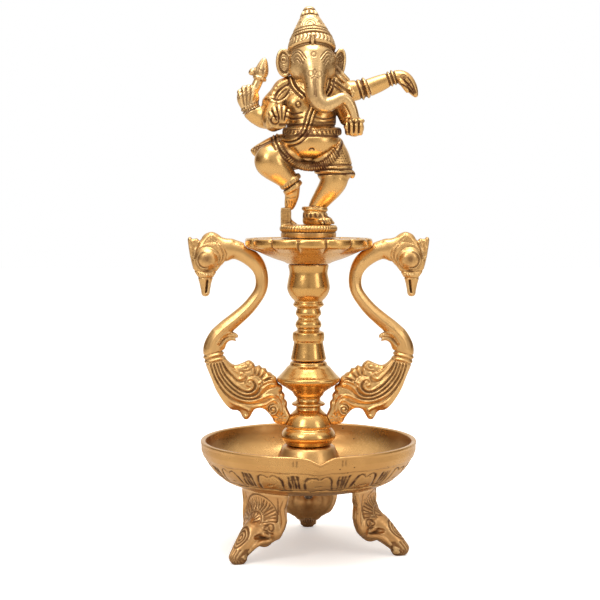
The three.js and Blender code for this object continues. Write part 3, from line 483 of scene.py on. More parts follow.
def dense(profile, step):
    """A profile with points put in, so that none are further apart than the step."""
    rows = np.array(profile, float)
    made = [rows[:1]]
    for a, b in zip(rows[:-1], rows[1:]):
        count = max(1, int(math.ceil(np.hypot(*(b - a)) / step)))
        share = np.linspace(0, 1, count + 1)[1:, None]
        made.append(a + (b - a) * share)
    return np.vstack(made)


def turned_piece(name, profile, material, node, sides, shape=None, smooth=2, fine=None):
    """A turned piece from a closed profile of (radius, height), anticlockwise seen with z up.
    Shape moves its points: it takes their radius, height and angle and the profile's rows, and gives
    back the radius, the height and how much more tarnish and painted shade they get. With fine, only the
    outer face above that height and the rim keep every row."""
    rows = dense(profile, ROW_STEP)
    for _ in range(smooth):
        rows[1:-1] = 0.5 * rows[1:-1] + 0.25 * (rows[:-2] + rows[2:])
    recess_tarnish_shade, sharp = profile_tarnish_shade_and_edges(rows)
    angles = np.linspace(0, 2 * math.pi, sides, endpoint=False)
    radius = np.repeat(rows[:, :1], sides, 1)
    height = np.repeat(rows[:, 1:], sides, 1)
    recess_tarnish_shade = np.repeat(recess_tarnish_shade[:, None], sides, 1)
    sharp = np.repeat(sharp[:, None], sides, 1)
    if shape is not None:
        radius, height, extra = shape(radius, height, angles[None, :], rows)
        recess_tarnish_shade = np.clip(recess_tarnish_shade + extra, 0, 1)
    count = len(rows)
    if fine is not None:
        number = np.arange(count)
        keep = (number < np.argmax(rows[:, 1])) & (rows[:, 1] > fine)
        keep |= rows[:, 1] > rows[:, 1].max() - RIM_DEPTH
        keep |= (number % COARSE_ROWS == 0) | (number == count - 1)
        radius, height, recess_tarnish_shade, sharp = radius[keep], height[keep], recess_tarnish_shade[keep], sharp[keep]
        count = len(radius)
    points = np.stack([radius * np.sin(angles), -radius * np.cos(angles), height], 2).reshape(-1, 3)
    row, side = np.meshgrid(np.arange(count - 1), np.arange(sides), indexing="ij")
    here = row * sides + side
    next_side = row * sides + (side + 1) % sides
    faces = np.stack([here, next_side, next_side + sides, here + sides], 2).reshape(-1, 4)
    obj = mesh_object(name, points, faces)
    store(obj, "recess_tarnish_shade", recess_tarnish_shade.ravel())
    store(obj, "sharp", sharp.ravel())
    finish_piece(obj, material, node)


# Materials


def add_node(tree, kind, inputs=(), **settings):
    """A shader node with its settings made and its inputs linked or filled in."""
    node = tree.nodes.new(kind)
    for key, value in settings.items():
        setattr(node, key, value)
    for key, value in dict(inputs).items():
        if isinstance(value, bpy.types.NodeSocket):
            tree.links.new(value, node.inputs[key])
        else:
            node.inputs[key].default_value = value
    return node


def noise(tree, place, scale, detail, roughness=0.5):
    """A cloudy pattern, where the scale is how many lumps there are in a metre."""
    inputs = {"Vector": place, "Scale": scale, "Detail": detail, "Roughness": roughness}
    return add_node(tree, "ShaderNodeTexNoise", inputs).outputs["Fac"]


def remap(tree, value, low, high, to_low=0.0, to_high=1.0, ends="LINEAR"):
    """Moves the range from low to high on to another one, and stops at its ends."""
    inputs = {"Value": value, "From Min": low, "From Max": high, "To Min": to_low, "To Max": to_high}
    return add_node(tree, "ShaderNodeMapRange", inputs, interpolation_type=ends).outputs["Result"]


def maths(tree, operation, a, b=0.0, clamp=False):
    """A sum or another operation on two values."""
    return add_node(tree, "ShaderNodeMath", {0: a, 1: b}, operation=operation, use_clamp=clamp).outputs[0]


def mixed(tree, share, a, b):
    """A colour between two others."""
    node = add_node(tree, "ShaderNodeMix", {0: share, 6: a, 7: b}, data_type="RGBA")
    return node.outputs[2]


def colour(red, green, blue):
    """A colour given as it looks on screen, from 11 to 255."""
    linear = [((c / 255 + 0.055) / 1.055) ** 2.4 for c in (red, green, blue)]
    return (*linear, 1.0)


# Patterns in the metal: how many lumps there are in a metre
STAIN_SCALE = 24.0
DULL_SCALE = 45.0
PATCH_SCALE = 90.0
PIT_SCALE = 210.0
LUMP_SCALE = 260.0
SPECK_SCALE = 700.0
GRAIN_SCALE = 2600.0
BUMP_HEIGHT = 0.00012  # in metres


def metal(name, base, worn, tarnish_shade_colour, roughness, tarnish_shade_amount, lumps, grain=0.35, stains=0.5, pits=0.0):
    """Cast metal: tarnish and painted shade in the hollows, bright worn edges, soft lumps, a fine grain and
    dark pits.
    """
    material = bpy.data.materials.new(name)
    material.use_nodes = True
    tree = material.node_tree
    tree.nodes.clear()
    place = add_node(tree, "ShaderNodeTexCoord").outputs["Object"]
    recess_tarnish_shade = add_node(tree, "ShaderNodeAttribute", attribute_name="recess_tarnish_shade").outputs["Fac"]
    sharp = add_node(tree, "ShaderNodeAttribute", attribute_name="sharp").outputs["Fac"]
    broad = noise(tree, place, STAIN_SCALE, 3.0, 0.6)
    patches = noise(tree, place, PATCH_SCALE, 3.0)
    specks = noise(tree, place, SPECK_SCALE, 2.0)
    fine = noise(tree, place, GRAIN_SCALE, 1.0)
    # Tarnish and painted shade in the hollows, with a ragged edge and uneven depth
    ragged = maths(tree, "ADD", recess_tarnish_shade, remap(tree, specks, 0.3, 0.7, -0.09, 0.09))
    tarnish_and_shade = remap(tree, ragged, 0.14, 0.6)
    uneven = remap(tree, patches, 0.35, 0.65, 0.75 * tarnish_shade_amount, tarnish_shade_amount)
    tarnish_and_shade = maths(tree, "MULTIPLY", tarnish_and_shade, uneven, True)
    if pits > 0:
        cells = add_node(tree, "ShaderNodeTexVoronoi", {"Vector": place, "Scale": PIT_SCALE})
        pit = remap(tree, cells.outputs["Distance"], 0.06, 0.1, pits, 0.0)
        pit = maths(tree, "MULTIPLY", pit, remap(tree, broad, 0.46, 0.54), True)
        tarnish_and_shade = maths(tree, "MAXIMUM", tarnish_and_shade, pit)
    # Colour: brown stains, worn edges, and the tarnish and painted shade on top
    brown = (0.84 * base[0], 0.79 * base[1], 0.74 * base[2], 1.0)
    tint = mixed(tree, remap(tree, broad, 0.35, 0.65, 0.0, stains), base, brown)
    tint = mixed(tree, remap(tree, patches, 0.35, 0.75, 0.0, 0.6 * stains), tint, brown)
    tint = mixed(tree, maths(tree, "MULTIPLY", sharp, 0.8, True), tint, worn)
    tint = mixed(tree, tarnish_and_shade, tint, tarnish_shade_colour)
    # Roughness: dull areas, specks, and matt tarnish and painted shade
    dull = remap(tree, noise(tree, place, DULL_SCALE, 4.0, 0.6), 0.42, 0.68)
    rough = maths(tree, "ADD", roughness, maths(tree, "MULTIPLY", dull, 0.1))
    rough = maths(tree, "ADD", rough, remap(tree, specks, 0.35, 0.65, -0.03, 0.05))
    rough = maths(tree, "ADD", rough, maths(tree, "MULTIPLY", tarnish_and_shade, 0.3), True)
    # Height of the lumps and the grain
    height = maths(tree, "MULTIPLY", noise(tree, place, LUMP_SCALE, 2.0), lumps)
    height = maths(tree, "ADD", height, maths(tree, "MULTIPLY", fine, 0.12 * grain))
    height = maths(tree, "ADD", height, maths(tree, "MULTIPLY", specks, 0.25 * grain))
    bump = add_node(tree, "ShaderNodeBump", {"Height": height, "Distance": BUMP_HEIGHT, "Strength": 1.0})
    shader = add_node(
        tree,
        "ShaderNodeBsdfPrincipled",
        {
            "Base Color": tint,
            "Metallic": remap(tree, tarnish_and_shade, 0.0, 1.0, 1.0, 0.55),
            "Roughness": rough,
            "Normal": bump.outputs["Normal"],
        },
    )
    out = add_node(tree, "ShaderNodeOutputMaterial")
    tree.links.new(shader.outputs["BSDF"], out.inputs["Surface"])
    return material


# Each metal: its colour, worn edges, colour of tarnish and painted shade, roughness, amount of tarnish and
# painted shade and height of the lumps
WORN = colour(250, 220, 164)
# Dark browns for the tarnish in hollows, which also paint the shade there
TARNISH_AND_SHADE = colour(92, 50, 18)
SOOT_AND_SHADE = colour(72, 38, 16)
stem_brass = metal("stem_brass", colour(223, 177, 109), WORN, TARNISH_AND_SHADE, 0.2, 0.9, 0.7, grain=0.3)
bowl_brass = metal(
    "bowl_brass", colour(216, 171, 110), WORN, SOOT_AND_SHADE, 0.27, 1.0, 1.1, grain=0.45, stains=1.0, pits=1.0
)
foot_brass = metal("foot_brass", colour(212, 165, 110), WORN, TARNISH_AND_SHADE, 0.29, 0.75, 0.8, stains=0.7, pits=0.5)
peacock_brass = metal("peacock_brass", colour(230, 187, 125), WORN, TARNISH_AND_SHADE, 0.28, 0.8, 0.6)
figure_brass = metal("figure_brass", colour(233, 189, 123), WORN, TARNISH_AND_SHADE, 0.25, 1.0, 0.45)
# A lighter copy of the figure's brass, which paints the top light on the head and the raised hand
painted_lit_brass = metal("painted_lit_brass", colour(243, 206, 148), WORN, TARNISH_AND_SHADE, 0.25, 0.8, 0.45)
rod_steel = metal(
    "rod_steel", colour(122, 112, 98), colour(176, 168, 152), colour(52, 42, 32), 0.4, 0.9, 0.3
)


# Turned stem

STEM_BASE = [
    (ROD_HOLE, STEM_BASE_BOTTOM), (11.3, STEM_BASE_BOTTOM), (11.7, 53.6), (12.5, 54.4), (13.5, 55.7),
    (13.7, 56.8), (13.3, 58.4), (12.3, 60.0), (11.2, 60.8), (11.0, 61.2), (11.5, 61.7), (11.6, 62.6),
    (11.2, 63.6), (10.7, 64.8), (10.0, 66.2), (8.9, 67.8), (7.4, 69.2), (6.3, 70.2), (6.1, 70.9),
    (6.2, 71.9), (ROD_HOLE, 71.9),
]
STEM_SAUCER = [
    (ROD_HOLE, SAUCER_BOTTOM), (8.0, SAUCER_BOTTOM), (8.5, 72.5), (8.5, 73.1), (7.9, 73.7), (6.3, 74.2),
    (5.95, 74.9), (6.0, 76.2), (6.7, 76.9), (7.5, 77.3), (7.6, 78.2), (8.2, 79.0), (9.4, 79.9),
    (11.6, 81.3), (14.2, 83.1), (15.5, 84.2), (15.9, 85.0), (15.9, 85.9), (15.3, 86.6), (14.4, 87.3),
    (12.9, 89.0), (11.6, 90.5), (10.7, 91.7), (9.8, 92.2), (9.3, 92.6), (9.35, 93.4), (9.0, 94.1),
    (8.5, 94.4), (ROD_HOLE, 94.4),
]
STEM_BALUSTER = [
    (ROD_HOLE, BALUSTER_BOTTOM), (8.2, BALUSTER_BOTTOM), (8.7, 95.1), (8.8, 95.9), (8.5, 97.3),
    (7.9, 100.2), (7.45, 102.6), (7.2, 104.1), (7.3, 104.4), (7.75, 104.7), (7.95, 105.6), (7.95, 108.2),
    (7.7, 109.1), (6.2, 109.5), (5.5, 110.1), (5.55, 110.8), (6.3, 111.6), (6.6, 112.7), (6.3, 114.0),
    (5.4, 115.2), (4.95, 115.8), (5.2, 116.6), (6.15, 117.5), (6.5, 118.5), (6.2, 119.7), (5.7, 120.7),
    (5.7, 121.2), (6.6, 121.6), (7.6, 122.2), (7.8, 122.8), (7.5, 123.5), (6.8, 124.2), (6.9, 124.7),
    (8.2, 125.8), (9.5, 127.5), (10.4, 129.6), (10.7, 131.2), (10.6, 132.8), (10.1, 135.6), (9.6, 138.0),
    (9.5, 139.2), (9.8, 141.0), (10.15, 142.4), (10.1, 143.0), (ROD_HOLE, 143.0),
]


def stem():
    for name, profile in (
        ("stem_base", STEM_BASE),
        ("stem_saucer", STEM_SAUCER),
        ("stem_baluster", STEM_BALUSTER),
    ):
        turned_piece(name + "_turned", profile, stem_brass, name, sides=128, smooth=5)


# Scalloped plate

PLATE_RADIUS = 32.0
SCALLOPS = 14
NOTCH_ANGLE = 15.9  # one of the notches, degrees to the right of the front


def scalloped(radius, height, angle, rows):
    """Draws the plate's rim in between the lobes, with a slit at each notch."""
    turn = (angle - math.radians(NOTCH_ANGLE)) * SCALLOPS / 2
    lobe = np.abs(np.sin(turn)) ** 0.55
    near_rim = np.clip((radius - 22) / 8, 0, 1) ** 2
    slit = np.exp(-((np.abs(np.sin(turn)) * PLATE_RADIUS * 2 / SCALLOPS / 0.45) ** 2))
    moved = radius - near_rim * (1.3 * (1 - lobe) + 0.7 * slit)
    drop = near_rim * (1 - lobe) * 0.5 * (height < PLATE_TOP - 1.5)
    # The slits also get tarnish and painted shade through the third value
    return moved, height + drop, near_rim * slit * 0.9


def plate():
    profile = [
        (ROD_HOLE, PLATE_HUB), (10.8, PLATE_HUB), (11.6, 143.9), (13.5, 144.6), (17.0, 145.7),
        (21.0, 147.3), (25.5, 149.3), (28.8, 150.5), (30.6, 151.1), (31.6, 151.8), (PLATE_RADIUS, 152.6),
        (PLATE_RADIUS, 154.6), (31.8, 155.4), (31.2, PLATE_TOP), (29.8, 155.8), (28.9, 155.3),
        (27.0, 155.2), (16.0, 155.3), (15.0, PLATE_TOP), (ROD_HOLE, PLATE_TOP),
    ]
    turned_piece("top_plate_cast", profile, stem_brass, "top_plate", sides=420, shape=scalloped)


# Oil bowl

BOWL_UNDER = [(33.0, BOWL_UNDERSIDE), (37.5, 34.0), (42.5, 36.2), (46.8, 39.4), (50.3, 43.6)]
SPOUT_HALF = 17.0  # half of the spout's width, and of its pinched tip's, in degrees
SPOUT_TIP_HALF = 7.0
SPOUT_GROOVES = ((11.6, 0.6), (13.4, 0.5))  # on both sides: place and width, in degrees from the middle
SPOUT_GROOVE_HEIGHTS = (49.5, 54.4)
FRIEZE_REPEATS = 13
FRIEZE_ARCH_ANGLE = 5.4  # middle of one arch, degrees to the right of the front
FRIEZE_RADIUS = 50.0
FRIEZE_LOW = 37.8  # height of the frieze's lower edge


def frieze_depth(around, up):
    """Depth of the engraved frieze: cut strokes that make arches with a dip on top, between groups of bars.
    Around is measured from the middle of an arch, and up from the frieze's lower edge."""
    thick, thin = [], []
    for side in (-1, 1):
        leg = [(7.0, 0.4), (6.5, 3.6), (6.0, 6.8), (4.9, 9.0)]
        shoulder = [(4.9, 9.0), (3.4, 9.9), (1.6, 9.5), (0.7, 8.4)]
        thick.append([(side * x, z) for x, z in leg])
        thin.append([(side * x, z) for x, z in shoulder])
        for x in (9.7, 11.5, 13.3):
            thick.append([(side * x, 0.8), (side * (x + 0.15), 9.4)])
        thin.append([(side * 9.7, 7.6), (side * 13.3, 7.2)])
    thin.append([(-1.0, 2.6), (1.2, 2.9)])
    edges = [[(-15, -0.9), (15, -0.9)]]
    faint = [[(-15, 11.6), (15, 11.6)]]
    depth = np.exp(-((path_distance(around, up, thick) / 0.68) ** 2))
    for paths, width, share in ((thin, 0.45, 0.85), (edges, 0.5, 0.8), (faint, 0.4, 0.3)):
        depth = np.maximum(depth, share * np.exp(-((path_distance(around, up, paths) / width) ** 2)))
    return depth


def pressed_frieze(radius, height, angle, rows, outside):
    """Cuts the frieze into the bowl's outer face, and gives its depth too."""
    lengths = np.r_[0, np.cumsum(np.hypot(*np.diff(rows, axis=0).T))]
    frieze_low = lengths[np.argmin(np.abs(rows[:, 1] - FRIEZE_LOW) + 100 * ~outside[:, 0])]
    up = (lengths - frieze_low)[:, None]
    period = 360 / FRIEZE_REPEATS
    around = (np.degrees(angle) - FRIEZE_ARCH_ANGLE + period / 2) % period - period / 2
    around = around / 360 * 2 * math.pi * FRIEZE_RADIUS
    # The strokes are cut by hand, so they wander and differ in depth
    wander = 0.3 * np.sin(17 * angle + 0.35 * up) + 0.22 * np.sin(41 * angle - 0.5 * up)
    lifted = up + 0.35 * np.sin(23 * angle + 1.0) + 0.2 * np.sin(57 * angle)
    pressure = 0.8 + 0.2 * np.sin(11 * angle + 0.9 * up)
    band = outside & (up > -2.5) & (up < 13.5)
    depth = np.where(band, frieze_depth(around + wander, lifted) * pressure, 0)
    recess = np.where(outside, np.clip((12.4 - up) / 0.7, 0, 1) * np.clip((up + 1.6) / 0.7, 0, 1), 0)
    slope = np.gradient(rows, axis=0)
    out = np.array([slope[:, 1], -slope[:, 0]]).T / np.maximum(np.hypot(*slope.T)[:, None], 1e-9)
    cut = 0.55 * depth + 0.22 * recess
    return radius - cut * out[:, :1], height - cut * out[:, 1:], depth


def bowl_shape(radius, height, angle, rows):
    """Presses the frieze into the outer face, and the spout with its two grooves into the rim."""
    outside = np.arange(len(rows))[:, None] < np.argmax(rows[:, 1])
    radius, height, depth = pressed_frieze(radius, height, angle, rows, outside)
    off = (np.degrees(angle) - SPOUT_ANGLE + 180) % 360 - 180
    sweep = np.clip(1 - np.abs(off) / SPOUT_HALF, 0, 1) ** 2
    pinch = np.clip(1 - np.abs(off) / SPOUT_TIP_HALF, 0, 1) ** 1.2
    rise = np.clip((height - BOWL_FLOOR) / (BOWL_RIM - BOWL_FLOOR), 0, 1)
    share = np.where(radius > 30, rise**2, 0)
    low, high = SPOUT_GROOVE_HEIGHTS
    groove = sum(np.exp(-(((np.abs(off) - place) / width) ** 2)) for place, width in SPOUT_GROOVES)
    groove = groove * outside * np.clip((height - low) / 1.5, 0, 1) * np.clip((high - height) / 1.5, 0, 1)
    radius = radius + share * (1.5 * sweep + 1.5 * pinch) - 0.4 * groove
    height = height - share * (1.4 * sweep + 1.7 * pinch)
    return radius, height, np.clip(0.95 * depth + 0.45 * groove, 0, 1)


def bowl():
    outer = [*BOWL_UNDER, (52.6, 47.6), (53.5, 50.0)]
    inner = [(51.5, 54.0), (50.7, 50.4), (48.2, 45.6), (44.0, 41.6), (38.5, 38.9), (31.0, 37.5),
             (27.0, BOWL_FLOOR)]
    boss = [(24.0, 37.5), (20.6, 39.2), (18.0, 42.0), (16.0, 45.4), (14.6, 48.4), (13.6, 50.6), (12.9, 51.8)]
    profile = [(ROD_HOLE, BOWL_UNDERSIDE), *map(tuple, smooth_track(outer, 8))]
    profile += [(BOWL_RADIUS, 50.4), (BOWL_RADIUS, 53.6), (54.0, 53.9), (54.0, 54.9), (53.6, BOWL_RIM)]
    profile += [(52.3, BOWL_RIM), (51.6, 54.9)]
    profile += [*map(tuple, smooth_track(inner, 8)), *map(tuple, smooth_track(boss, 6))]
    profile += [(12.2, BOSS_TOP), (ROD_HOLE, BOSS_TOP)]
    turned_piece(
        "oil_bowl_cast",
        profile,
        bowl_brass,
        "oil_bowl",
        sides=640,
        shape=bowl_shape,
        smooth=1,
        fine=36.0,
    )


# Peacock brackets, drawn as the right one: x is the distance from the axis of the stem

PLATE_UNDER = [
    (10.8, 143.2), (17.0, 145.5), (25.5, 149.2), (30.6, 151.0), (PLATE_RADIUS, 152.5),
    (PLATE_RADIUS, PLATE_TOP), (31.0, 160),
]
PEACOCK_BODY = [
    (47.5, 110.1), (50.0, 106.0), (51.6, 102.9), (52.2, 99.6), (51.6, 96.0), (50.5, 91.6), (49.0, 86.9),
    (47.0, 81.4), (44.2, 76.3), (41.2, 72.2), (38.4, 70.0), (35.6, 69.6), (34.4, 68.8), (33.2, 66.6),
    (32.2, 65.3), (30.6, 65.1), (29.5, 66.0), (28.2, 68.4), (26.7, 70.3), (23.8, 70.8), (20.7, 69.2),
    (18.2, 65.8), (17.0, 63.6), (13.0, 62.2), (8.4, 63.0), (8.4, 66.1), (10.1, 69.7), (11.7, 73.5),
    (13.9, 77.9), (14.6, 81.9), (15.6, 84.6), (16.2, 86.2), (19.1, 88.4), (21.6, 90.4), (24.0, 91.8),
    (26.5, 92.1), (27.4, 93.4), (29.3, 94.8), (31.0, 94.6), (32.6, 93.8), (36.8, 92.5), (40.8, 94.8),
    (42.8, 97.5), (43.3, 100.3), (42.6, 103.6), (41.6, 108.0), (42.0, 113.0),
]
PEACOCK_HEAD = [
    (54.9, 154.0), (56.9, 149.3), (58.1, 144.6), (57.2, 139.9), (55.6, 137.4), (54.3, 134.1), (53.4, 130.0),
    (52.9, 127.4), (50.1, 127.4), (49.4, 131.0), (48.5, 134.5), (46.9, 137.4), (44.6, 141.0), (42.0, 143.8),
    (38.5, 145.4), (35.0, 149.0), (37.0, 154.9), (41.0, 155.6), (44.8, 157.2), (48.0, 158.9), (50.6, 157.9),
    (52.6, 156.2),
]
PEACOCK_CREST = [
    (60.2, 155.4), (59.8, 151.6), (59.1, 147.2), (58.0, 142.4), (56.4, 144.6), (55.4, 150.4), (54.0, 153.4),
    (54.7, 155.3), (56.0, 156.1), (57.3, 155.5), (58.6, 156.5), (59.7, 156.5),
]
PEACOCK_RIBS = [
    [(49.6, 93.4), (48.3, 88.8), (46.1, 83.2), (42.3, 77.7), (37.9, 73.7), (32.9, 71.6), (30.0, 70.0),
     (29.4, 67.9)],
    [(47.9, 93.4), (46.0, 87.1), (42.4, 81.2), (38.7, 77.7), (33.7, 75.2), (28.5, 74.5), (24.0, 75.8),
     (19.2, 77.6), (15.8, 76.4), (13.9, 73.2), (13.6, 69.0)],
    [(46.4, 93.6), (44.2, 87.6), (40.6, 82.2), (36.0, 78.2), (31.0, 76.4), (27.6, 76.5), (25.3, 77.6),
     (23.3, 80.4), (20.9, 82.3), (18.8, 83.1), (16.2, 82.8)],
    [(44.9, 93.9), (43.4, 89.4), (41.2, 85.6), (37.6, 81.7), (33.2, 78.6), (28.7, 78.5), (26.0, 80.6),
     (25.4, 83.1), (26.8, 85.2), (29.0, 86.0), (30.8, 84.9), (30.9, 83.3), (29.6, 82.5)],
    [(43.6, 94.3), (42.2, 90.6), (40.3, 87.4), (37.2, 84.0), (34.0, 81.7), (31.4, 80.2), (29.3, 80.3),
     (27.7, 81.8), (27.8, 83.4), (29.0, 84.2)],
    [(42.7, 95.0), (39.6, 90.6), (36.8, 87.6), (34.9, 86.0), (32.9, 86.2), (31.9, 87.7), (32.9, 88.9),
     (34.0, 88.2)],
    [(42.0, 95.6), (39.2, 92.3), (36.6, 90.0), (34.4, 88.9)],
    [(27.4, 71.4), (22.1, 72.7), (17.9, 75.0), (15.4, 73.8), (15.0, 71.0), (16.4, 68.4), (18.6, 67.6)],
    [(25.6, 83.6), (24.3, 83.9), (22.0, 85.6), (19.3, 86.9), (17.0, 86.3)],
    [(24.6, 81.6), (22.6, 83.4), (19.6, 84.9), (16.4, 84.8)],
]
PEACOCK_GROOVES = [
    [(48.7, 93.0), (47.1, 87.6), (44.2, 82.0), (40.4, 77.4), (36.2, 74.4), (31.0, 73.0), (26.0, 73.2),
     (21.4, 74.2), (18.8, 75.8)],
    [(47.1, 93.2), (45.0, 87.1), (41.4, 81.6), (37.2, 78.0), (32.2, 75.7), (28.2, 75.6), (24.9, 76.4),
     (22.4, 78.6), (19.7, 80.6), (16.7, 81.4)],
    [(45.6, 93.6), (43.8, 88.5), (40.9, 83.9), (36.8, 80.1), (32.0, 77.4), (27.7, 77.3), (24.8, 79.4),
     (24.0, 82.6)],
    [(44.2, 94.0), (42.8, 89.9), (40.7, 86.5), (37.4, 82.9), (33.6, 80.2), (30.2, 79.2), (27.4, 80.3),
     (26.5, 82.6), (27.6, 84.5)],
    [(43.1, 94.6), (40.9, 90.6), (37.8, 86.9), (35.2, 84.6), (32.0, 84.4), (30.8, 86.9)],
    [(34.4, 89.9), (31.2, 89.5), (29.1, 90.3), (27.4, 91.7)],
    [(33.6, 92.4), (31.6, 93.0), (30.0, 92.4), (30.6, 91.2), (32.2, 91.0)],
]


def fan_of_lines(centre, inner, outer, start, end, count):
    """Straight strokes between two arcs round a centre."""
    lines = []
    for angle in np.radians(np.linspace(start, end, count)):
        c, s = math.cos(angle), math.sin(angle)
        lines.append([(centre[0] + reach * c, centre[1] + reach * s) for reach in (inner, outer)])
    return lines


def carve_turned(clay, profile):
    """Cuts clay back to just clear of a turned piece."""
    rows = sorted((z, r + JOINT_GAP) for r, z in profile if r > ROD_HOLE)
    clay.spun((0, 0, 0), (0, 0, 1), rows, blend=0.2, carve=True)


def peacock_neck(clay):
    clay.limb(
        [
            (47.5, 0, 149.8, 5.2), (42.0, 0, 150.6, 4.9), (36.5, 0, 150.2, 4.7), (31.5, 0, 148.0, 4.4),
            (26.6, 0, 144.0, 4.0), (23.9, 0, 139.2, 3.4), (23.2, 0, 134.2, 3.15), (24.1, 0, 129.6, 3.1),
            (27.0, 0, 124.9, 3.2), (31.2, 0, 120.0, 3.4), (36.4, 0, 115.4, 3.6), (41.6, 0, 111.0, 3.9),
            (45.6, 0, 106.6, 4.2), (47.6, 0, 102.2, 4.5), (47.7, 0, 98.2, 4.6), (46.8, 0, 94.4, 4.7),
            (44.8, 0, 89.6, 4.4),
        ],
        blend=1.6,
        squash=0.9,
    )
    ridge = [(24.0, 144.4), (21.6, 139.4), (20.7, 134.2), (21.9, 129.0), (25.0, 124.0), (29.0, 119.6),
             (34.4, 114.6), (40.4, 109.8), (45.2, 105.0), (47.0, 100.2)]
    ridge = [(x + 2.0, z + 0.6) for x, z in ridge]
    clay.draw([smooth_track(ridge, 5)], 0.4, 0.9)


def peacock_head(clay):
    """Head, domed eye, beak with its slit, and the crest leaf."""
    clay.slab(smooth_track(PEACOCK_HEAD, 3), 7.6, 4.2, blend=1.2)
    clay.ball((51.6, 0, 146.8), (6.0, 5.0, 7.6), blend=1.5)
    clay.limb([(51.4, 0, 138.0, 3.9), (51.4, 0, 134.0, 2.9), (51.3, 0, 129.0, 2.0)], blend=0.8)
    eye = (50.2, 145.8)
    for side in (-1, 1):
        clay.ball((eye[0], side * 1.6, eye[1]), (5.7, 5.3, 5.8), blend=0.5)
    clay.draw([arc(eye, 6.0, 0, 360, 48)], -0.35, 0.45)
    clay.draw([arc((50.9, 145.2), 3.9, -100, 80, 30)], -0.4, 0.3)
    clay.draw([arc((50.9, 145.2), 4.5, -100, 80, 30)], 0.2, 0.3)
    behind = [(46.2, 153.2), (44.2, 151.0), (43.0, 148.2), (43.4, 145.4), (44.8, 143.2)]
    for step in (0.0, 1.7):
        line = [(x - step, z) for x, z in behind]
        clay.draw([line], 0.4, 0.5)
        clay.draw([[(x - 0.85, z) for x, z in line]], -0.34, 0.34)
    clay.draw([[(57.6, 139.9), (53.2, 139.5), (50.1, 139.5), (46.2, 139.3)]], -0.5, 0.35)
    for side in (-1, 1):
        clay.beads([(56.6, 138.4), (53.2, 137.9), (50.1, 137.8), (47.0, 137.8)], 0.62, 1.25, side=side)
    clay.draw([[(55.8, 136.6), (53.2, 136.3), (50.1, 136.3), (47.8, 136.3)]], -0.5, 0.32)
    clay.draw([[(50.3, 135.0), (50.7, 131.4), (51.1, 129.0)]], -1.6, 0.42)
    clay.draw([[(49.3, 134.2), (49.9, 130.5), (50.2, 128.2)]], 0.25, 0.35)
    clay.slab(PEACOCK_CREST, 4.6, 1.3, blend=0.2)
    clay.draw([[(54.4, 153.4), (55.7, 150.4), (56.5, 147.4), (57.0, 145.6)]], -0.6, 0.33)
    clay.draw([[(56.2, 155.8), (57.2, 151.0), (58.0, 147.2)], [(58.0, 156.2), (58.7, 151.6)]], -0.4, 0.26)
    clay.ball((48.4, 0, 155.6), (4.6, 3.2, 3.2), blend=1.0)
    fan = [[(48.4, 158.2), (48.3, 153.8)]]
    for step in range(4):
        z = 157.2 - 0.8 * step
        for end in (50.3 + 0.5 * step, 46.1 - 0.7 * step):
            fan.append([(48.3, z - 0.4), (end, z - 1.6)])
    clay.draw(fan, -0.3, 0.26)


def peacock_leaf(clay):
    """The curled leaf that stands off the inside of the neck."""
    clay.limb(
        [(43.6, 0, 101.6, 2.0), (42.6, 0, 104.6, 2.2), (40.4, 0, 106.4, 2.1), (38.2, 0, 106.8, 2.0),
         (36.9, 0, 106.3, 1.7), (36.5, 0, 105.7, 1.3)],
        blend=0.7,
    )
    edge = [(45.4, 103.6), (43.2, 106.9), (40.2, 108.5), (37.0, 108.4), (35.4, 107.4)]
    vein = [(44.2, 102.6), (42.4, 105.2), (40.0, 106.5), (37.6, 106.6), (36.0, 106.0)]
    fold = [(43.2, 102.0), (41.6, 104.2), (39.6, 105.2), (37.2, 105.2)]
    for line, height, width in ((edge, 0.45, 0.45), (vein, -0.5, 0.4), (fold, 0.3, 0.4)):
        clay.draw([smooth_track(line, 4)], height, width)
    for side in (-1, 1):
        clay.beads([(44.2, 104.0), (42.4, 106.2), (40.0, 107.5), (37.4, 107.5)], 0.48, 1.15, side=side)
    clay.ball((36.2, 0, 105.6), (0.9, 1.2, 0.9), blend=0.2, carve=True)


def peacock_feathers(clay):
    """Ribs and grooves of the wing, with a fan of petals behind its scroll."""
    ribs = [smooth_track(rib, 5) for rib in PEACOCK_RIBS]
    grooves = [smooth_track(groove, 5) for groove in PEACOCK_GROOVES]
    clay.draw(ribs, 0.7, 0.6)
    clay.draw(grooves, -0.48, 0.37)
    for rib in ribs[:5]:
        ticks = [[(x - 0.35, z - 0.3), (x + 0.35, z + 0.3)] for x, z in rib[2::3]]
        clay.draw(ticks, -0.16, 0.22)
    scroll = (27.2, 83.4)
    petals = fan_of_lines(scroll, 4.8, 9.4, 84, 172, 9)
    clay.draw(petals[0::2], 0.5, 0.7)
    clay.draw(petals[1::2], -0.45, 0.36)
    clay.draw([arc(scroll, 4.2, 60, 190, 20)], -0.4, 0.36)


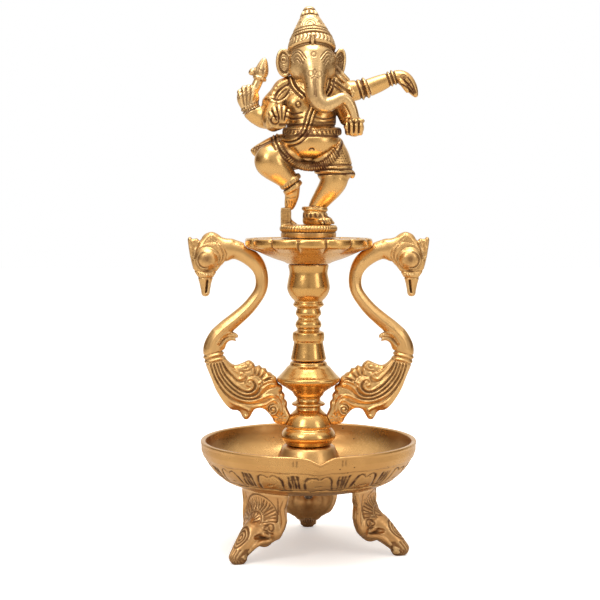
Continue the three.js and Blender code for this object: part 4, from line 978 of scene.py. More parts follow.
def peacock_trim(clay):
    """Bands round the neck, and the beads and small scrolls by the stem."""
    for z, outer, inner in ((97.4, 52.4, 42.2), (95.2, 51.6, 42.0)):
        clay.draw([[(outer, z - 1.1), (inner, z + 1.2)]], 0.5, 0.5)
    for z in (98.6, 96.3, 94.0):
        clay.draw([[(52.4, z - 1.1), (42.0, z + 1.2)]], -0.45, 0.32)
    centre = (17.9, 70.4)
    for side in (-1, 1):
        clay.ball((centre[0], side * 2.5, centre[1]), (0.9, 1.1, 0.9), blend=0.15)
        path = [(31.2, 73.2), (27.5, 73.0), (24.5, 73.2), (21.2, 74.1), (18.8, 75.8)]
        clay.beads(path, 0.42, 1.05, side=side)
        clay.ball((31.2, side * 2.4, 66.9), (1.3, 1.3, 1.3), blend=0.3)
        clay.beads([(14.0, 80.4), (13.4, 76.6), (12.2, 73.4)], 0.6, 1.5, side=side)
    clay.draw([spiral(centre, 3.1, 1.2, 100, -1.5, 36)], 0.45, 0.4)
    clay.draw([spiral(centre, 2.5, 0.6, 100, -1.5, 36)], -0.4, 0.28)
    clay.draw(fan_of_lines((14.0, 66.0), 0.8, 2.6, 0, 330, 9), -0.35, 0.3)
    # A wavy inner edge, next to the stem
    for x, z in ((14.4, 80.8), (13.3, 77.0), (12.1, 73.2)):
        clay.ball((x, 0, z), (1.5, 2.8, 1.9), blend=1.2)


def peacock_clay():
    clay = Clay((7.0, -7.2, 61.5), (61.0, 7.2, 160.0), BRACKET_CELL, stain=0.26)
    clay.slab(smooth_track(PEACOCK_BODY, 3), 6.4, 3.2, blend=0.6)
    peacock_neck(clay)
    peacock_leaf(clay)
    clay.ball((30.2, 0, 83.4), (7.0, 3.9, 6.6), blend=2.0)
    peacock_feathers(clay)
    peacock_trim(clay)
    peacock_head(clay)
    for profile in (PLATE_UNDER, STEM_SAUCER, STEM_BASE):
        carve_turned(clay, profile)
    return clay


def peacocks():
    clay = peacock_clay()
    clay_piece("peacock_right_cast", clay, peacock_brass, "peacock_right")
    clay_piece("peacock_left_cast", clay, peacock_brass, "peacock_left", mirror=True)


# Feet. Each is modelled as if it stood at the front, so its outer face is towards -Y

FOOT_ANGLES = {"left": -46.0, "right": 71.0, "rear": 180.0}
SHIELD_RADIUS = 31.5  # middle of the shield's wall
SHIELD_HALF = 2.0  # half of the wall's thickness
SHIELD_FACE = -29.2  # lines drawn before this y stay off the wall's inner face


def foot_shield(clay):
    """The curved wall that the foot hangs from, with a lobed outline."""
    half = [(0.0, 8.0), (3.5, 8.2), (7.4, 9.4), (10.6, 11.8), (13.2, 15.6), (14.5, 19.6), (14.3, 23.6),
            (14.0, 26.0), (14.9, 28.0), (15.2, 30.4), (16.0, 33.0), (17.4, 38.0)]
    outline = half + [(-x, z) for x, z in half[::-1]]
    cuts, x, y, z = clay.window((-30, -60, -2), (30, 0, 40))
    around = SHIELD_RADIUS * np.arctan2(x, -y)
    side = outline_distance(around, z, outline)
    flare = 0.1 * np.clip(z - 27, 0, 9) ** 1.4
    wall = np.abs(np.hypot(x, y) - SHIELD_RADIUS - flare) - SHIELD_HALF
    near = -blended(-side, -wall, 1.6)
    clay.merge(cuts, near.astype(np.float32), 0.4)


def on_shield(around, z, out):
    """A point on the shield's curved face, from how far round it is, how high and how far out."""
    angle = around / SHIELD_RADIUS
    reach = SHIELD_RADIUS + SHIELD_HALF + out
    return reach * math.sin(angle), -reach * math.cos(angle), z


def foot_side(clay, side):
    """One half of the foot: lip, border and volute of the shield, and leaves above the knee."""
    clay.ball((side * 3.6, -33.4, 9.6), (3.4, 4.0, 3.2), blend=1.4)
    clay.ball((side * 10.0, -31.6, 14.6), (3.0, 2.4, 3.6), blend=2.0)
    lip = [(side * 3.6, -44.0, 5.8, 1.0), (side * 5.2, -41.2, 8.4, 1.25), (side * 5.9, -38.0, 9.8, 1.4),
           (side * 6.6, -34.8, 9.9, 1.4), (side * 7.6, -32.2, 10.4, 1.3)]
    clay.limb(lip, blend=0.5)
    clay.ball((side * 5.9, -38.4, 12.6), (1.5, 3.8, 1.3), blend=0.6, carve=True)
    border = [(14.6, 31.4), (13.7, 28.4), (13.0, 25.6), (13.5, 22.4), (13.6, 19.2), (12.4, 15.4), (9.8, 12.2),
              (7.6, 10.6)]
    clay.limb([(*on_shield(side * a, z, -0.1), 1.2) for a, z in border], blend=0.5, steps=3)
    volute = spiral((9.8, 16.6), 2.9, 0.9, 300, -1.35, 26)
    clay.draw([[(side * a * 0.92, z) for a, z in volute]], -0.5, 0.3, before=SHIELD_FACE)
    for step in range(5):
        turn = 1.25 * step
        grain = on_shield(side * (9.8 + 0.9 * math.cos(turn)), 16.6 + 0.9 * math.sin(turn), 1.2)
        clay.ball(grain, (0.6, 0.6, 0.6), blend=0.15)
    for low, high, out in (
        ((2.2, 16.8), (8.0, 19.4), 4.2),
        ((2.6, 15.4), (7.2, 16.0), 4.6),
        ((3.6, 13.4), (7.4, 12.4), 4.6),
    ):
        middle = on_shield(side * 0.5 * (low[0] + high[0]), 0.5 * (low[1] + high[1]) + 0.5, out - 1.6)
        stations = [(side * low[0], -SHIELD_RADIUS - out - 1.2, low[1], 0.7)]
        stations += [(*middle, 1.2), (*on_shield(side * high[0], high[1], out - 3.0), 0.6)]
        clay.limb(stations, blend=0.25)
    edge = [(side * 11.6, 31.0), (side * 11.2, 27.0), (side * 11.6, 23.4)]
    clay.draw([smooth_track(edge, 4)], -0.3, 0.35, before=SHIELD_FACE)


def foot_fan(clay):
    """The fan of bent rays on the shield, under an arch."""
    focus = (0.0, 19.0)
    clay.draw([arc((0.0, 20.4), 11.3, -4, 184, 40, squeeze=1.02)], -0.4, 0.3, before=SHIELD_FACE)
    clay.draw([arc((0.0, 20.4), 12.0, -6, 186, 40, squeeze=1.02)], 0.25, 0.35, before=SHIELD_FACE)
    rays = []
    for step, angle in enumerate(np.radians(np.linspace(4, 176, 19))):
        bend = 0.5 * math.sin(2.1 * step)
        c, s = math.cos(angle), math.sin(angle)
        middle = (focus[0] + 7.4 * c - bend * s, focus[1] + 7.4 * s + bend * c)
        low, high = [(focus[0] + reach * c, focus[1] + reach * s) for reach in (5.6, 11.2)]
        rays.append(smooth_track([low, middle, high], 3))
    clay.draw(rays, -0.42, 0.27, before=SHIELD_FACE)
    clay.draw(fan_of_lines(focus, 5.4, 10.8, 8.8, 171.2, 18), 0.14, 0.3, before=SHIELD_FACE)
    clay.draw([arc(focus, 4.6, 0, 180, 24)], -0.3, 0.26, before=SHIELD_FACE)
    clay.draw(fan_of_lines(focus, 1.8, 4.0, 15, 165, 6), -0.35, 0.26, before=SHIELD_FACE)


def foot_toe(clay):
    """A pointed oval in rings on the knee, and grooves and a hatch on the toe."""
    for scale in (1.0, 0.64, 0.28):
        ring = []
        for a in np.linspace(0, 2 * math.pi, 41):
            across = 3.3 * scale * math.sin(a) * abs(math.sin(a)) ** 0.4
            ring.append((across, 12.4 + 4.6 * scale * math.cos(a)))
        clay.draw([ring], -0.6, 0.3, before=-30)
    grooves = [[(x, 3.6), (1.12 * x, 5.2), (1.25 * x, 7.0)] for x in (-3.4, -2.3, -1.2, 0.0, 1.2, 2.3, 3.4)]
    clay.draw(grooves, -0.45, 0.3, before=-38)
    hatch = []
    for step in range(10):
        x = -3.8 + 0.85 * step
        hatch += [[(x, 0.6), (x + 0.45, 1.8)], [(x + 0.45, 2.0), (x, 3.2)]]
    clay.draw(hatch, -0.6, 0.28, before=-42)


def foot_clay():
    clay = Clay((-20, -55, -1.2), (20, -22, 38.5), FINE_CELL, stain=0.62)
    foot_shield(clay)
    clay.ball((0, -31.6, 17.5), (11.5, 4.6, 9.0), blend=2.5)
    shin = [(0, -30.5, 17.6, 6.4), (0, -36.2, 14.0, 6.3), (0, -42.4, 8.9, 5.1), (0, -47.2, 4.6, 4.0),
            (0, -49.0, 3.2, 3.4)]
    clay.limb(shin, blend=2.4)
    clay.ball((0, -46.8, 2.6), (4.6, 3.8, 3.2), blend=1.2)
    for side in (-1, 1):
        foot_side(clay, side)
    foot_fan(clay)
    foot_toe(clay)
    # Flat on the ground, and clear of the bowl
    cuts, _, _, z = clay.window((-30, -60, -2), (30, 0, 4))
    clay.field[cuts] = np.maximum(clay.field[cuts], -z)
    carve_turned(clay, BOWL_UNDER)
    return clay


def feet():
    clay = foot_clay()
    for name, angle in FOOT_ANGLES.items():
        turn = Matrix.Rotation(math.radians(angle), 4, "Z")
        clay_piece("foot_" + name + "_cast", clay, foot_brass, "foot_" + name, matrix=turn)


# Figure. Its pieces are drawn from the top of the base up, and lifted on to it at the end


# The two joints between castings: a point, and the direction in which the limb goes on
ARM_JOINT = ((29.6, 4.0, 68.4), (0.94, 0, 0.33))
WRIST_JOINT = ((-28.2, 2.2, 56.6), (-0.42, 0, 0.9))


def partway(first, second, share):
    """A point part of the way from one point to another."""
    return tuple(a * (1 - share) + b * share for a, b in zip(first, second))


def wrapped(clay, start, end, profile, paths, repeats, height, width, phase=0.0, squash=1.0):
    """Draws lines round a turned form, repeated evenly. A path's points are (round, along), in mm."""
    start, end = np.array(start, float), np.array(end, float)
    axis = (end - start) / np.linalg.norm(end - start)
    right = np.cross((0, 1, 0), axis)
    right /= np.linalg.norm(right)
    front = np.cross(axis, right)
    along, radii = np.array(profile, float).T
    margin = radii.max() + 2
    ends = np.array([start + axis * along.min(), start + axis * along.max()])
    cuts, x, y, z = clay.window(ends.min(0) - margin, ends.max(0) + margin)
    place = [x - start[0], (y - start[1]) / squash, z - start[2]]
    t = sum(p * a for p, a in zip(place, axis))
    side = sum(p * a for p, a in zip(place, right))
    back = sum(p * a for p, a in zip(place, front))
    period = 2 * math.pi / repeats
    turn = np.arctan2(side, -back) - math.radians(phase)
    turn = (turn + period / 2) % period - period / 2
    near = path_distance(turn * np.interp(t, along, radii), t, paths)
    inside = (t > along.min()) & (t < along.max())
    clay.line(cuts, (np.exp(-((near / width) ** 2)) * inside).astype(np.float32), height)


def ring_band(clay, centre, axis, radius, thick, spread=1.0, squash=1.0, blend=0.25):
    """A raised ring round a limb."""
    centre, axis = np.array(centre, float), np.array(axis, float)
    axis /= np.linalg.norm(axis)
    half = thick * spread
    profile = []
    for share in np.linspace(-1, 1, 9):
        profile.append((share * half, radius - thick + thick * math.sqrt(1 - share**4)))
    clay.spun(centre, centre + axis, profile, blend=blend, squash=squash)


CROWN_LOW = (1.6, -1.6, 86.0)
CROWN_TIP = (0.3, 6.6, 106.6)
CROWN = [
    (-0.6, 10.8), (-0.1, 11.5), (0.6, 12.0), (3.7, 11.5), (4.3, 11.1), (4.8, 10.1), (5.2, 10.6), (5.9, 10.9),
    (6.5, 10.5), (6.8, 9.6), (7.1, 9.9), (7.7, 10.0), (8.3, 9.7), (8.8, 8.9), (9.8, 8.7), (14.9, 6.5),
    (17.4, 5.2), (17.9, 4.4), (18.3, 4.9), (19.6, 4.6), (20.7, 4.0), (21.3, 3.1), (21.7, 3.4), (22.8, 2.9),
    (23.6, 1.9), (24.0, 0.8),
]


def crown(clay):
    """A tall crown, with a brim of slanting leaves, twisted rolls and half-round medallions."""
    clay.spun(CROWN_LOW, CROWN_TIP, CROWN, blend=0.8, squash=0.94)

    def round_crown(paths, repeats, height, width, phase=0.0):
        """Draws lines round the crown."""
        wrapped(clay, CROWN_LOW, CROWN_TIP, CROWN, paths, repeats, height, width, phase, 0.94)

    round_crown([[(-0.5, 0.5), (0.2, 1.6), (0.3, 2.8), (-0.1, 4.2)]], 32, -0.36, 0.28)
    round_crown([[(-9, 4.8), (9, 4.8)], [(-9, 6.8), (9, 6.8)], [(-9, 8.9), (9, 8.9)]], 3, -0.4, 0.3)
    round_crown([[(-0.3, 5.4), (0.3, 6.4)]], 60, -0.14, 0.22)
    round_crown([[(-0.3, 7.2), (0.3, 8.2)]], 54, -0.16, 0.22)
    round_crown([[(0.0, 18.4), (0.0, 20.2)]], 9, -0.9, 0.46)
    round_crown([[(-9, 21.3), (9, 21.3)], [(-9, 17.8), (9, 17.8)]], 1, -0.6, 0.34)
    round_crown([arc((0.0, 10.2), radius, 0, 180, 18) for radius in (1.6, 3.0, 4.4)], 4, -0.28, 0.26)
    round_crown([arc((0.0, 10.2), radius, 0, 180, 18) for radius in (2.3, 3.7)], 4, 0.2, 0.3)
    round_crown([[(-4.9, 9.9), (4.9, 9.9)]], 4, 0.25, 0.3)
    hook = spiral((0.0, 12.2), 1.3, 0.3, 200, -1.3, 20)
    round_crown([hook, [(-1.9, 16.2), (-0.6, 15.4), (0.0, 17.0), (0.8, 15.6)]], 4, -0.28, 0.26, 45)
    front = clay.skin(1.9, 91.0)
    clay.limb([(1.8, front + 0.4, 88.8, 0.95), (1.7, front + 0.7, 92.2, 0.9)], blend=0.2)
    clay.draw([[(0.7, 88.5), (0.6, 92.4)], [(3.1, 88.5), (3.0, 92.4)]], -0.4, 0.26, before=-6)
    clay.draw([arc((2.7, 98.0), 0.2, 0, 360, 6)], -0.5, 0.35, before=-4)


EYE_LINES = {
    -1: (
        [(-8.6, 83.4), (-6.6, 85.2), (-4.6, 85.1), (-2.8, 83.0), (-1.4, 81.0)],
        [(-8.4, 82.2), (-6.5, 84.0), (-4.8, 83.8), (-3.3, 81.9), (-2.2, 80.2)],
        [(-7.8, 80.4), (-6.4, 82.1), (-4.9, 81.8), (-3.7, 80.0), (-3.0, 78.6)],
        [(-7.2, 79.4), (-6.2, 80.7), (-5.0, 80.4), (-4.1, 79.0)],
    ),
    1: (
        [(5.7, 81.2), (7.3, 83.4), (9.1, 85.2), (10.9, 84.9), (12.0, 83.4)],
        [(6.4, 80.2), (7.9, 82.3), (9.3, 83.8), (10.8, 83.5), (11.6, 82.2)],
        [(7.3, 78.8), (8.4, 80.9), (9.8, 82.0), (11.0, 81.2)],
        [(8.0, 78.2), (8.8, 79.8), (10.0, 80.6), (10.8, 79.8)],
    ),
}


def eye(clay, side):
    """The nested arches of a brow and an eye."""
    lines = [smooth_track(line, 5) for line in EYE_LINES[side]]
    clay.draw(lines, -0.3, 0.25, before=-2)
    clay.draw([(lines[0] + lines[1]) / 2], 0.22, 0.3, before=-2)


def ear(clay, side, centre, wide, high, lean, jewel_drop):
    """An ear, with a rolled rim round a dish that holds an ear jewel."""
    x, z = centre
    clay.ball((x, 0.2, z), (wide + 0.5, 3.6, high + 0.2), roll=lean, blend=1.4)
    dish = (wide - 0.9, 1.5, high - 1.8)
    clay.ball((x + side * 0.5, -3.7, z - 0.2), dish, roll=lean, blend=0.4, carve=True)
    rim = []
    for angle in np.linspace(0, 2 * math.pi, 30):
        u, v = (wide - 0.5) * math.cos(angle), (high - 0.6) * math.sin(angle)
        c, s = math.cos(math.radians(lean)), math.sin(math.radians(lean))
        rim.append((x + side * 0.2 + u * c + v * s, -2.3, z + v * c - u * s, 0.9))
    clay.limb(rim, blend=0.5, steps=1)
    inner = [(a + 0.28 * (x - a), c + 0.24 * (z - c)) for a, _, c, _ in rim]
    clay.draw([inner], -0.45, 0.36, before=2)
    jewel = (x + side * 0.5, z + jewel_drop)
    for radius, depth in ((1.7, -0.3), (1.1, 0.45), (0.4, -0.3)):
        clay.draw([arc(jewel, radius, 0, 360, 20)], depth, 0.28, before=2)
    strokes = []
    for step in range(4):
        low = jewel[1] - 2.9 - 0.95 * step
        strokes.append([(x - side * 1.2, low - 0.6), (x + side * 1.7, low + 0.6)])
    clay.draw(strokes, -0.28, 0.24, before=2)
    spine = [(x, z - high + 2.4), (x + side * 0.6, z), (x, z + high - 2.4)]
    clay.draw([spine], -0.35, 0.4, behind=1)


def face(clay):
    """Lines of the face: eyes, marks on the brow, and rings and folds on the trunk."""
    eye(clay, -1)
    eye(clay, 1)
    clay.draw([arc((2.5, 82.8), 1.1, 0, 360, 20)], -0.26, 0.24, before=-4)
    for x in (0.8, 5.2):
        clay.draw([arc((x, 73.4), 1.4, 0, 360, 20)], -0.12, 0.24, before=-4)
    petal = [(3.0, 75.6), (2.3, 74.0), (3.0, 72.2), (3.7, 74.0), (3.0, 75.6)]
    clay.draw([petal], -0.26, 0.24, before=-4)
    clay.draw([[(1.4, 71.0), (3.0, 71.8), (4.6, 71.0)]], -0.3, 0.24, before=-6)
    clay.draw([[(2.5, 70.6), (2.8, 63.0)], [(3.4, 70.6), (3.7, 62.0)]], -0.36, 0.27, before=-6)


def head_clay():
    clay = Clay((-17.6, -19.5, 50.0), (27.0, 11.5, 111.4), FINE_CELL, stain=0.78)
    clay.ball((1.6, -1.2, 80.6), (11.0, 9.8, 10.6))
    clay.ball((1.7, -4.2, 82.4), (10.2, 7.6, 7.6), blend=2.0)
    clay.ball((-4.4, -5.6, 77.4), (5.6, 4.6, 6.0), blend=3.5)
    clay.ball((8.2, -5.6, 77.4), (5.6, 4.6, 6.0), blend=3.5)
    trunk = [
        (1.9, -6.6, 81.6, 6.8), (2.5, -9.2, 76.4, 6.3), (3.0, -11.2, 70.8, 5.7), (3.2, -12.4, 65.6, 5.1),
        (4.4, -13.0, 61.2, 4.6), (7.6, -13.2, 58.5, 4.0), (12.0, -13.0, 59.7, 3.4), (16.4, -12.4, 61.8, 2.9),
        (19.6, -11.8, 59.8, 2.6), (21.4, -11.2, 56.4, 2.3), (22.5, -10.6, 53.0, 2.1),
    ]
    clay.limb(trunk, blend=4.5)
    clay.limb([(1.6, 1.0, 76.0, 9.2), (1.4, 1.4, 69.0, 8.4)], blend=2.0)
    ear(clay, -1, (-11.9, 79.8), 3.7, 6.8, -4, 1.4)
    ear(clay, 1, (15.0, 79.4), 2.8, 7.4, 8, 2.6)
    clay.ball((-9.4, 0.4, 80.0), (3.0, 3.4, 5.0), blend=1.5)
    clay.ball((12.4, 0.4, 80.0), (3.0, 3.4, 5.0), blend=1.5)
    clay.draw([[(14.6, 76.0), (15.4, 79.5), (15.6, 83.0)]], -0.6, 0.8, before=2)
    crown(clay)
    face(clay)
    # Strands of cloth from behind the ear
    for end, start in (
        ((19.6, 71.6), (13.0, 78.6)),
        ((18.0, 70.6), (12.0, 76.4)),
        ((15.6, 69.8), (10.8, 74.4)),
    ):
        middle = partway(start, end, 0.5)
        clay.limb(
            [(start[0], -4.0, start[1], 0.9), (middle[0], -4.4, middle[1] - 0.5, 1.0),
             (end[0], -2.8, end[1], 0.8)],
            blend=0.6,
        )
    hair = []
    for x in (-6.5, -3.9, -1.3, 1.3, 3.9, 6.5, 9.1):
        hair.append([(x, 84.0), (x * 0.92 + 0.2, 76.0), (x * 0.8 + 0.4, 70.0)])
    clay.draw(hair, -0.5, 0.6, behind=1)
    return clay


def body_arms(clay):
    """Upper arms and front arms, at their full length. They are trimmed where separate castings start."""
    clay.limb(
        [(-10.6, 2.2, 66.4, 6.2), (-16.8, 3.2, 60.0, 6.3), (-20.3, 3.4, 54.6, 6.7), (-24.6, 3.0, 54.6, 5.4),
         (-27.8, 2.4, 56.0, 4.5)],
        blend=1.6,
    )
    clay.limb([(12.6, 2.6, 66.2, 6.0), (20.6, 3.4, 66.4, 5.3), (29.4, 4.0, 68.2, 4.7)], blend=1.6)
    clay.limb(
        [(-12.6, 0.4, 64.6, 5.0), (-16.8, -2.0, 56.6, 4.8), (-18.0, -5.2, 51.0, 4.6),
         (-15.6, -9.6, 49.8, 3.5)],
        blend=1.2,
    )
    clay.limb(
        [(12.4, 0.4, 64.4, 5.0), (17.0, -0.8, 57.4, 4.2), (19.4, -3.4, 51.4, 3.7), (21.6, -6.6, 48.6, 3.0)],
        blend=1.2,
    )


def armlet(clay):
    """A stone-set armlet on the outstretched arm, which hides its joint."""
    for shift in (-1.5, 1.4):
        ring_band(clay, (27.2 + 0.94 * shift, 3.9, 67.6 + 0.33 * shift), ARM_JOINT[1], 5.4, 0.9, spread=0.75)
    edges = [[(-9, t), (9, t)] for t in (0.4, 2.8)]
    wrapped(clay, (24.6, 3.9, 66.7), (30.0, 3.9, 68.6), [(0, 5.2), (5.6, 5.2)], edges, 6, -0.6, 0.4)
    stone = [arc((0.0, 1.3), 0.7, 0, 360, 14)]
    wrapped(clay, (26.0, 3.9, 67.2), (28.4, 3.9, 68.0), [(0, 5.0), (2.7, 5.0)], stone, 10, -0.3, 0.26)


def torso_clay():
    clay = Clay((-34.0, -19.6, 29.5), (33.5, 13.0, 77.5), BODY_CELL)
    clay.ball((1.2, -3.2, 41.2), (14.2, 12.4, 9.9))
    clay.ball((0.6, 0.6, 53.0), (12.8, 9.0, 9.0), blend=2.5)
    clay.ball((0.5, 0.7, 61.0), (13.0, 9.0, 9.6), blend=2.5)
    clay.limb([(-12.0, 1.4, 66.6, 5.8), (0.5, 1.8, 69.0, 6.8), (13.8, 2.2, 66.8, 5.6)], blend=2.5)
    clay.limb([(1.4, 0.8, 66.0, 8.8), (1.4, 0.6, 74.5, 7.0)], blend=2.0)
    clay.limb([(1.3, 0, 49.6, 12.2), (1.3, 0, 52.0, 11.8)], blend=1.5, squash=0.85)
    clay.ball((-5.6, -5.6, 59.4), (5.2, 3.6, 4.6), blend=2.5)
    clay.ball((7.4, -5.6, 59.4), (5.2, 3.6, 4.6), blend=2.5)
    clay.ball((9.8, -3.0, 67.2), (5.6, 4.6, 6.4), blend=2.5)
    body_arms(clay)
    armlet(clay)
    blessing_hand(clay)
    sweet_hand(clay)
    belt(clay)
    collar_and_cords(clay)
    shawl(clay)
    sash(clay)
    back_of_torso(clay)
    trim_half(clay, *WRIST_JOINT, 7)
    trim_half(clay, *ARM_JOINT, 7)
    return clay


def blessing_hand(clay):
    """The raised right palm, with a mark in it, a bracelet and an armlet."""
    clay.ball((-14.4, -12.0, 52.6), (5.4, 2.2, 5.4), blend=0.8)
    fingers = (
        ((-18.7, 54.4), (-16.4, 50.4)), ((-16.9, 56.7), (-14.9, 51.4)), ((-14.4, 57.5), (-13.7, 51.6)),
        ((-12.0, 57.0), (-12.5, 51.4)), ((-9.8, 55.2), (-11.5, 50.6)),
    )
    for tip, root in fingers:
        middle = partway(root, tip, 0.55)
        clay.limb(
            [(root[0], -12.9, root[1], 0.9), (middle[0], -13.9, middle[1], 1.4),
             (tip[0], -12.6, tip[1], 1.4)],
            blend=0.3,
        )
    grooves = []
    for a, b in zip(fingers[:-1], fingers[1:]):
        grooves.append([partway(a[0], b[0], 0.5), partway(a[1], b[1], 0.6)])
    clay.draw(grooves, -0.3, 0.26, before=-9)
    clay.draw([arc((-16.4, 51.0), 1.9, 0, 360, 20)], -0.3, 0.26, before=-9)
    clay.draw([arc((-16.4, 51.0), 1.0, 0, 360, 16)], 0.5, 0.4, before=-9)
    clay.draw([arc((-14.4, 52.6), 5.6, 195, 330, 16)], 0.4, 0.6, before=-8)
    ring_band(clay, (-16.9, -7.6, 50.4), (2.4, -4.4, -1.2), 4.7, 0.9)
    ring_band(clay, (-16.9, 0.0, 60.2), (-0.5, -0.3, -0.9), 5.7, 1.0)


def sweet_hand(clay):
    """The left hand, which holds a round sweet in a ring of beads."""
    clay.ball((22.3, -8.6, 47.7), (4.9, 4.0, 4.4), blend=0.8)
    lanes = (18.6, 20.9, 23.2, 25.4)
    for step, x in enumerate(lanes):
        front = -11.4 if step in (0, 3) else -12.2
        clay.limb(
            [(x, front + 1.2, 50.4, 1.15), (x, front, 48.2, 1.35), (x * 0.97 + 0.7, front + 1.6, 45.0, 1.2)],
            blend=0.2,
        )
    clay.draw([[(a + 1.15, 49.8), (a + 1.1, 45.4)] for a in lanes[:-1]], -0.5, 0.34, before=-8)
    clay.ball((22.4, -9.4, 51.1), (3.3, 3.2, 2.6), blend=0.3)
    clay.draw([arc((22.4, 51.4), 1.5, 0, 360, 14)], -0.3, 0.26, before=-8)
    for angle in range(0, 360, 40):
        c, s = math.cos(math.radians(angle)), math.sin(math.radians(angle))
        clay.ball((22.4 + 4.0 * c, -9.2 + 3.5 * s, 50.6 + 0.3 * c), (1.05, 1.05, 1.05), blend=0.12)
    ring_band(clay, (20.4, -4.6, 50.2), (2.2, -3.4, -2.2), 3.9, 0.8)


def belt(clay):
    """A patterned belt, with a dark groove above and below it."""
    profile = [(0.0, 13.4), (0.35, 14.4), (0.9, 14.8), (3.1, 14.7), (3.7, 14.3), (4.1, 13.2)]
    low, high = (1.7, -0.4, 44.2), (1.7, -0.7, 48.3)
    for z, radius in ((43.4, 14.4), (49.0, 13.7)):
        level = [(0, radius), (2, radius)]
        groove = [[(-9, 1), (9, 1)]]
        wrapped(clay, (1.7, -0.4, z - 1), (1.7, -0.4, z + 1), level, groove, 6, -0.6, 0.5, squash=0.84)
    clay.spun(low, high, profile, blend=0.2, squash=0.84)
    sprig = [[(-0.5, 1.2), (0.0, 2.0), (0.5, 2.8)], [(-0.5, 2.8), (-0.2, 2.2)], [(0.5, 1.2), (0.2, 1.8)]]
    wrapped(clay, low, high, profile, sprig, 40, -0.32, 0.25, squash=0.84)
    hems = [[(-9, 0.7), (9, 0.7)], [(-9, 3.4), (9, 3.4)]]
    wrapped(clay, low, high, profile, hems, 6, -0.22, 0.22, squash=0.84)


def collar_and_cords(clay):
    collar = [(-9.0, 73.0), (-7.6, 68.6), (-5.0, 65.2), (-2.0, 62.6)]
    for offset, size in ((0.0, 0.85), (1.9, 0.8)):
        clay.cord([(x + offset, z + 0.5 * offset) for x, z in collar], size, sink=0.3)
    clay.draw([smooth_track([(x + 0.95, z + 0.2) for x, z in collar], 5)], -0.5, 0.4, before=0)
    clay.draw([smooth_track([(x - 1.1, z - 0.5) for x, z in collar], 5)], -0.4, 0.35, before=0)
    clay.beads([(x - 1.9, z - 1.2) for x, z in collar], 0.55, 1.25)
    for offset in (0.0, 2.0, 4.0):
        right = [(11.6 - offset, 72.0), (10.8 - offset, 67.4), (9.0 - offset, 63.8),
                 (6.6 - 0.6 * offset, 61.8)]
        clay.cord(right, 0.7, sink=0.25)
        clay.draw([smooth_track([(x + 1.0, z - 0.2) for x, z in right], 5)], -0.4, 0.34, before=0)


def shawl(clay):
    """Leaf-shaped folds on both shoulders, rows of beads, and the folds of the chest."""
    leaf = smooth_track([(-17.6, 63.0), (-16.6, 66.2), (-13.6, 69.2), (-10.6, 70.6)], 5)
    clay.cord(leaf, 1.3, sink=0.75, blend=0.6)
    clay.draw([[(x + 0.9, z - 1.5) for x, z in leaf]], -0.55, 0.45, before=3)
    clay.draw([[(x + 1.7, z - 3.2) for x, z in leaf[:-3]]], -0.3, 0.3, before=3)
    band = smooth_track([(-18.6, 61.2), (-15.0, 60.0), (-11.6, 61.8), (-9.4, 65.2)], 5)
    clay.cord(band, 0.75, sink=0.3)
    clay.draw([[(x, z + 1.2) for x, z in band]], -0.32, 0.3, before=3)
    fold = smooth_track([(12.4, 72.0), (16.2, 70.2), (19.6, 67.8), (21.8, 64.6)], 5)
    clay.cord(fold, 1.2, sink=0.6, blend=0.5)
    clay.draw([[(x - 0.9, z - 1.5) for x, z in fold]], -0.5, 0.42, before=3)
    clay.draw([[(x - 2.4, z - 3.0) for x, z in fold]], -0.32, 0.3, before=3)
    clay.beads([(20.6, 66.6), (21.6, 63.8), (20.6, 61.6)], 0.75, 1.5)
    clay.beads([(13.8, 71.6), (11.6, 68.4), (9.6, 65.2), (8.4, 62.4)], 0.75, 1.3)
    clay.draw([arc((-5.0, 59.0), 1.4, 0, 360, 18)], -0.28, 0.24, before=-2)
    clay.draw([arc((-5.0, 59.0), 0.45, 0, 360, 10)], 0.4, 0.4, before=-2)
    creases = [[(-10.6, 55.2), (-7.4, 54.4), (-3.0, 55.2)], [(-11.4, 52.8), (-7.0, 52.0), (-3.0, 52.6)],
               [(3.4, 52.8), (7.6, 51.9), (12.6, 53.0)], [(2.4, 50.4), (7.6, 50.2), (13.4, 51.0)]]
    clay.draw([smooth_track(crease, 5) for crease in creases], -0.34, 0.34, before=-2)


def sash(clay):
    """Two strands over the chest and belt to the hip, and the navel under them."""
    path = [(2.8, 59.6), (2.2, 56.6), (0.8, 53.2), (-0.2, 49.4), (-1.5, 45.8), (-4.4, 42.4), (-8.6, 40.8),
            (-12.6, 41.2)]
    track = smooth_track(path, 5)
    along = np.gradient(track, axis=0)
    across = np.array([along[:, 1], -along[:, 0]]).T / np.hypot(*along.T)[:, None]
    heights = [min(clay.skin(x, z) or -11.0, -7.4) for x, z in track]
    heights = np.convolve(np.pad(heights, 2, mode="edge"), np.ones(5) / 5, mode="valid")
    for offset in (-1.0, 0.8):
        stations = [(x, y - 0.1, z, 0.95) for (x, z), y in zip(track + offset * across, heights)]
        clay.limb(stations, blend=0.15, steps=1)
    clay.draw([track + offset * across for offset in (-2.1, -0.1, 1.9)], -0.35, 0.34, before=-4)
    clay.ball((1.5, -15.6, 36.8), (1.0, 1.2, 0.75), blend=0.3, carve=True)
    clay.draw([arc((1.5, 36.4), 1.2, 15, 165, 10)], -0.35, 0.28, before=-8)


